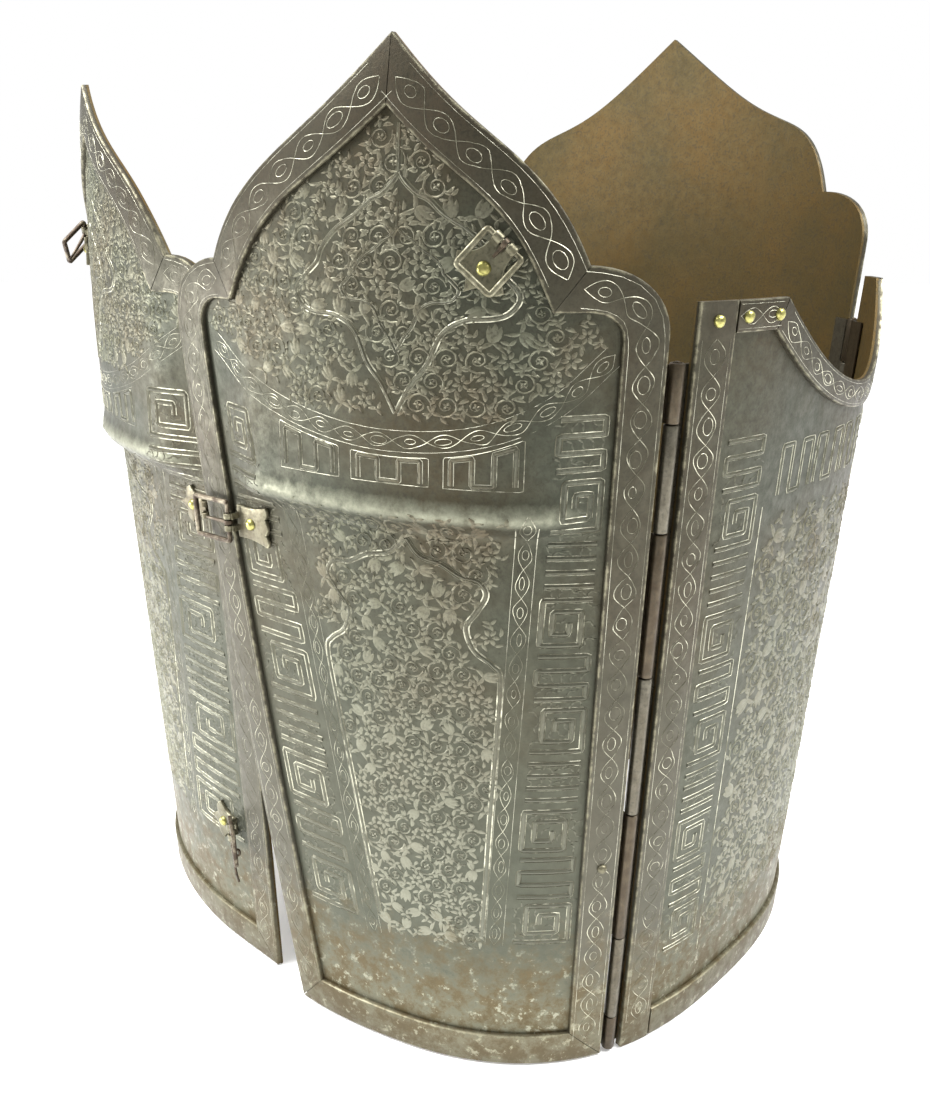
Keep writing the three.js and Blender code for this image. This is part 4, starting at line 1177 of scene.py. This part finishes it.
def bends(start, *curves):
    """An outline of quadratic curves, each given by its pull point and its end."""
    t = np.linspace(0, 1, 13)[1:, None]
    line, here = [np.array([start])], np.array(start)
    for pull, end in curves:
        pull, end = np.array(pull), np.array(end)
        line.append(quadratic(here, pull, end, t))
        here = end
    return np.vstack(line)


def both_halves(left, half, length):
    """A left half and its mirror image as one outline, drawn to size."""
    return np.vstack([left, (left * [-1, 1])[::-1][1:]]) * [half, length]


def palmette(half, length):
    """A leaf with two side lobes and a point, drawn down from the bar."""
    left = bends((-0.45, 0.0), ((-0.4, -0.35), (-1.0, -0.55)), ((-0.8, -0.8), (-0.35, -0.72)),
                 ((-0.17, -0.82), (0.0, -1.0)))
    return both_halves(left, half, length)


def wavy_tab(half, length):
    """A tab that flares to a wavy end."""
    left = bends((-0.82, 0.0), ((-0.7, -0.5), (-1.0, -0.96)), ((-0.7, -1.06), (-0.4, -0.93)),
                 ((-0.2, -1.0), (0.0, -1.0)))
    return both_halves(left, half, length)


def sheet_part(outline, heart, sink):
    """Rings drawn in from an outline to its heart: skirt, rounded edge, crowned face, and the underside."""
    scale = np.array([0.0, 0.5, 0.93, 0.98, 1.0, 1.0, 0.0])[:, None, None]
    height = np.array([1.25, 1.2, 1.0, 0.9, 0.6, -sink, -sink])[:, None]
    xy = heart + (outline[None] - heart) * np.where(scale == 0, 0.004, scale)
    ring = np.concatenate([xy, np.broadcast_to(height, xy.shape[:2])[..., None]], -1)
    return ring[::-1], tube_faces(1, 7, len(outline))


def loop_bar(half, length):
    """A square frame's path: an oblong whose corners are short quadratic curves."""
    h = BUCKLE.wire / 2
    arm, end = half - h, -length - h
    corners = np.array([(-arm, 0.0), (arm, 0.0), (arm, end), (-arm, end)])
    soft = 1.3
    path = []
    for before, here, after in zip(np.roll(corners, 1, 0), corners, np.roll(corners, -1, 0)):
        a, b = here + unit(before - here) * soft, here + unit(after - here) * soft
        t = np.linspace(0, 1, 6)[:, None]
        path.append(quadratic(a, here, b, t))
        path.append(lerp(b, after + unit(here - after) * soft, np.linspace(0, 1, 8)[1:-1, None]))
    return np.vstack(path)


def swept(path, radius, sides=12, loop=False, power=1.0, out=None):
    """A section carried along a path in space: a circle squared up by a power below one."""
    path = np.asarray(path, float)
    padded = np.vstack([path[-1:], path, path[:1]]) if loop else path
    along = unit(np.gradient(padded, axis=0))
    along = along[1:-1] if loop else along
    up = np.broadcast_to(np.array([0.0, 0.0, 1.0]) if out is None else out, along.shape)
    side = unit(np.cross(along, up))
    up = np.cross(side, along)
    turn = np.linspace(0, 2 * np.pi, sides, endpoint=False) + np.pi / sides
    c, s = np.cos(turn), np.sin(turn)
    c, s = np.sign(c) * np.abs(c) ** power, np.sign(s) * np.abs(s) ** power
    radius = np.broadcast_to(np.asarray(radius, float), len(path))[:, None, None]
    ring = path[:, None] + radius * (c[None, :, None] * side[:, None] + s[None, :, None] * up[:, None])
    return ring, tube_faces(1, len(path), sides, loop)


def dome(radius, height, sink):
    """A rivet head: a flattened dome on a short skirt, a little out of round."""
    profile = np.array([(0.02, height), (0.35, 0.97 * height), (0.66, 0.8 * height), (0.88, 0.5 * height),
                        (1.0, 0.12 * height), (1.0, -sink), (0.02, -sink)]) * [radius, 1.0]
    profile[[0, -1], 0] = 0.02
    ring = turned(profile, 20)
    wobble = 1 + 0.03 * np.sin(3 * np.linspace(0, 2 * np.pi, 20, endpoint=False))
    ring[..., :2] *= wobble[:, None, None]
    return ring[:, ::-1], tube_faces(1, 20, 7, loop=True)


def swing(points, open_deg, rise):
    """Points turned about the bar, then lifted to it."""
    a = -np.radians(open_deg)
    x, y, z = np.moveaxis(np.asarray(points), -1, 0)
    return np.stack([x, y * np.cos(a) - z * np.sin(a), y * np.sin(a) + z * np.cos(a) + rise], -1)


print("buckle tools ready")

# %% [markdown]
# Four buckles and a catch that has lost its frame. The frame, and the prong or bent wire on it, swing on the
# bar; the leaf and its brass rivet stay on the plate.

# %% Buckles
SEAT = FACE + 0.6
LEAF_WEAR = [0, 0, 1.1, 1.1, 0.7, 0.2, 0.1]


def along_x(radius, bore, x0, x1):
    """A short tube on the bar."""
    ring = turned(np.array([(bore, x0), (radius - 0.25, x0), (radius, x0 + 0.25), (radius, x1 - 0.25),
                            (radius - 0.25, x1), (bore, x1)]), 20)
    return ring[..., [2, 0, 1]], tube_faces(1, 20, 6, loop=True)


def buckle_base(name, seat, spec):
    """Leaf sheet, two rolls on the bar and the sheet that turns up into them."""
    outline = spec.outline(spec.half, spec.length) - [0.0, ROLL_WALL]
    sheet, faces = sheet_part(outline, np.array([0.0, -0.55 * spec.length - ROLL_WALL]), SEAT - FACE)
    parts = [part(settle(sheet, *seat), faces, edge=np.repeat(LEAF_WEAR, len(outline)))]
    roll_half, eye = 0.45 * spec.half, BUCKLE.prong / 2 + 0.4
    for x0, x1 in ((-roll_half, -eye), (eye, roll_half)):
        roll, faces = along_x(BUCKLE.roll, BUCKLE.bore, x0, x1)
        parts.append(part(settle(roll + [0, 0, spec.rise], *seat), faces, edge=np.full(120, 0.8)))
        web, faces = box_part((x0, -BUCKLE.roll - BUCKLE.sheet, 0.2), (x1, -ROLL_WALL, spec.rise), 4)
        parts.append(part(settle(web, *seat), faces, True))
    piece = write_piece(f"{name}_leaf", parts, [LEAF_IRON])
    dress(piece, "buckle_iron", f"{name}_plate")
    head, faces = dome(2.6, 1.7, 0.5)
    head = head + [0, -0.55 * spec.length, BUCKLE.sheet + 0.3]
    rivet = write_piece(f"{name}_rivet_head", [part(settle(head, *seat), faces)], [BRASS])
    dress(rivet, "brass_rivet", f"{name}_rivet")


def buckle_frame(name, seat, spec):
    """The swinging frame, with its prong or its bent wire."""
    hung = lambda points, angle: settle(swing(points, angle, spec.rise), *seat)
    path = loop_bar(spec.frame_half, spec.frame_length)
    flat = np.concatenate([path, np.zeros((len(path), 1))], 1)
    on_bar = np.abs(path[:, 1]) < 0.05
    ring, faces = swept(flat, np.where(on_bar, BUCKLE.bar, BUCKLE.wire / 2), 12, True, 0.7)
    body = part(hung(ring, spec.open), faces, edge=np.full(len(path) * 12, 0.9))
    piece = write_piece(f"{name}_loop", [body], [LEAF_IRON if spec.pale else BUCKLE_IRON])
    dress(piece, "buckle_iron", f"{name}_frame")
    if spec.prong:
        eye, faces = along_x(BUCKLE.roll, BUCKLE.bore, -BUCKLE.prong / 2, BUCKLE.prong / 2)
        parts = [part(hung(eye, spec.prong_open), faces)]
        y = -np.linspace(ROLL_WALL, spec.prong, 14)
        spine = np.stack([0 * y, y, 0.25 * np.sin(np.pi * y / spec.prong)], 1)
        ring, faces = swept(spine, np.linspace(0.95, 0.5, 14), 10, power=0.75)
        parts.append(part(hung(ring, spec.prong_open), faces))
        piece = write_piece(f"{name}_tongue", parts, [BUCKLE_IRON])
        dress(piece, "buckle_iron", f"{name}_prong")
    if spec.hook:
        arm = spec.frame_half - BUCKLE.wire / 2
        clear = BUCKLE.wire / 2 + BUCKLE.hook + 0.6
        route = [(arm - clear, -0.4), (arm - 0.6 * clear, clear), (arm + 0.6 * clear, clear),
                 (arm + clear, 0), (arm + 0.6 * spec.hook, 0), (arm + spec.hook, 1)]
        bent = smooth_line(route, 60)
        curl = 4.0 * ease((bent[:, 0] - arm - 0.55 * spec.hook) / (0.45 * spec.hook))
        wire = np.stack([bent[:, 0], curl - 0.4 * spec.frame_length, bent[:, 1]], 1)
        ring, faces = swept(wire, BUCKLE.hook, 10, out=np.array([0.0, 1.0, 0.0]))
        piece = write_piece(f"{name}_wire", [part(hung(ring, spec.open), faces)], [BUCKLE_IRON])
        dress(piece, "buckle_iron", f"{name}_hook")


def spec(**values):
    """A buckle's numbers, with no prong and no wire unless given."""
    return SimpleNamespace(**{"prong": 0.0, "prong_open": 0.0, "hook": 0.0, "pale": False, **values})


SHOULDER = dict(w=136, z=364, turn=np.radians(-42), outline=palmette, half=11, length=20, rise=2.6,
                frame_half=9, frame_length=15)
UPRIGHT = dict(turn=np.radians(90), length=20)
BUCKLES = {
    "buckle_shoulder_left": ("front_left", spec(**SHOULDER, open=9, prong=6, prong_open=9, pale=True)),
    "buckle_shoulder_right": ("front_right", spec(**SHOULDER, open=32, prong=20, prong_open=20)),
    "clasp_left": ("front_left", spec(**UPRIGHT, w=16.5, z=246, rise=4.6, half=9, outline=wavy_tab,
                                      frame_half=10, frame_length=20, open=177, prong=14, prong_open=176)),
    "buckle_low_right": ("front_right", spec(**UPRIGHT, w=14, z=72, rise=4.6, half=11, outline=palmette,
                                             frame_half=10, frame_length=16, open=150, hook=20)),
    "catch_high_right": ("front_right", spec(**UPRIGHT, w=9, z=245, rise=2, half=9, outline=palmette)),
}
for name, (plate_name, shape) in BUCKLES.items():
    seat = seat_on(PLATES[plate_name], shape.w, shape.z, SEAT, shape.turn)
    buckle_base(name, seat, shape)
    if f"{name}_frame" in frame["nodes"]:
        buckle_frame(name, seat, shape)
print("buckles:", len(BUCKLES))

# %% [markdown]
# Brass rivets hold the shoulder strips, and one iron rivet sits in the left front rim. A rivet is a dome that
# was hammered, so it is flattened and slightly out of round.

# %% Rivets
RIVET_SEAT = RIM_HIGH + 0.3
rivet_rows = [(side, tag, w, z, 2.4) for side in ("side_left", "side_right")
              for tag, w, z in (("fore", 207.5, 337), ("mid", 220.5, 338), ("arm", 236.5, 338))]
rivet_rows.append(("front_left", "rim", 182, 106, 2.2))
for side, tag, w, z, radius in rivet_rows:
    origin, axes = seat_on(PLATES[side], w, z, RIVET_SEAT, 0.0)
    head, faces = dome(radius, 0.65 * radius, 0.5)
    metal = LEAF_IRON if tag == "rim" else BRASS
    piece = write_piece(f"rivet_{side}_{tag}_head", [part(settle(head, origin, axes), faces)], [metal])
    dress(piece, "brass_rivet", f"rivet_{side}_{tag}")
print("rivets:", len(rivet_rows))

# %% [markdown]
# The stage is a white floor that glows round the object, as a light table does, and stays plain under it, so
# that a soft shadow gathers at the foot. The camera sees a white wall everywhere; the plates mirror a dimmer
# room. Two soft lights make pools on the floor, which the low parts of the plates mirror, and a third lights
# the left front plate. The camera stands where the photographer stood.

# %% Floor, light and camera
FLOOR_RADIUS, FLOOR_DROP, FLOOR_GLOW = 6.0, 0.0004, 0.8
floor_mesh = bpy.data.meshes.new("floor")
turn = np.linspace(0, 2 * np.pi, 96, endpoint=False)
ring = np.stack([np.cos(turn), np.sin(turn), 0 * turn], 1)
floor_points = np.vstack([ring * FLOOR_RADIUS, [[0.0, 0.0, 0.0]]]) - [0, 0, FLOOR_DROP]
floor_mesh.from_pydata(floor_points.tolist(), [], [(k, (k + 1) % 96, 96) for k in range(96)])
floor = bpy.data.objects.new("floor", floor_mesh)
bpy.context.scene.collection.objects.link(floor)
paper, tree, shader, place = start_material("acrylic_white_light_table")
fleck = noise(tree, place, 1 / 3)
tree.links.new(blend(tree, fleck, "#fbfbfb", "#f6f6f6"), shader.inputs["Base Color"])
shader.inputs["Roughness"].default_value = 0.9
shader.inputs["Emission Color"].default_value = (1.0, 1.0, 1.0, 1.0)
ovals = node(tree, "ShaderNodeVectorMath", {0: place, 1: (1 / 0.18, 1 / 0.155, 0.0)}, operation="MULTIPLY")
away = node(tree, "ShaderNodeVectorMath", {0: ovals.outputs[0]}, operation="LENGTH")
glow = ramp(tree, away.outputs["Value"], 0.9, 1.4, 0.0, FLOOR_GLOW)
tree.links.new(glow, shader.inputs["Emission Strength"])
floor_mesh.materials.append(paper)

world = bpy.data.worlds.new("white_studio")
bpy.context.scene.world = world
world.use_nodes = True
BACKDROP = (-0.62, 0.65, -0.45)
tree = world.node_tree
sky = node(tree, "ShaderNodeTexCoord").outputs["Generated"]
facing = node(tree, "ShaderNodeVectorMath", {0: sky, 1: BACKDROP}, operation="DOT_PRODUCT")
dusk = ramp(tree, facing.outputs["Value"], 0.15, 0.55, 0.31, 1.0)
straight_look = node(tree, "ShaderNodeLightPath").outputs["Is Camera Ray"]
wall_light = calc(tree, "MAXIMUM", dusk, straight_look)
background = tree.nodes["Background"]
background.inputs["Color"].default_value = (1.0, 1.0, 1.0, 1.0)
tree.links.new(wall_light, background.inputs["Strength"])


def soft_box(name, place, aim, size, power):
    """An area light that looks at a point."""
    lamp = bpy.data.lights.new(name, "AREA")
    lamp.shape, lamp.size, lamp.energy = "DISK", size, power
    light = bpy.data.objects.new(name, lamp)
    back = unit(np.array(place) - np.array(aim))
    right = unit(np.cross([0.0, 0.0, 1.0], back))
    turned_to = np.stack([right, np.cross(back, right), back, place], 1)
    light.matrix_world = Matrix([*turned_to.tolist(), (0, 0, 0, 1)])
    bpy.context.scene.collection.objects.link(light)


soft_box("key_left", (-1.0, -1.1, 0.12), (-0.05, -0.1, 0.0), 0.5, 18.0)
soft_box("pool_left", (-0.4, -0.6, 1.1), (-0.35, -0.5, 0.0), 0.9, 36.0)
soft_box("pool_right", (0.8, 0.35, 1.1), (0.7, 0.3, 0.0), 0.8, 34.0)

lens = bpy.data.cameras.new("camera")
lens.lens, lens.sensor_width, lens.shift_y = 33.79, 36.0, -0.0122
camera = bpy.data.objects.new("camera", lens)
camera.matrix_world = Matrix((
    (0.71742, -0.20895, 0.66456, 0.39138),
    (0.69664, 0.21212, -0.68535, -0.41187),
    (0.00224, 0.95464, 0.29774, 0.37353),
    (0, 0, 0, 1),
))
lens.clip_start = 0.01
bpy.context.scene.collection.objects.link(camera)
bpy.context.scene.camera = camera
bpy.context.scene.view_settings.view_transform = "Standard"
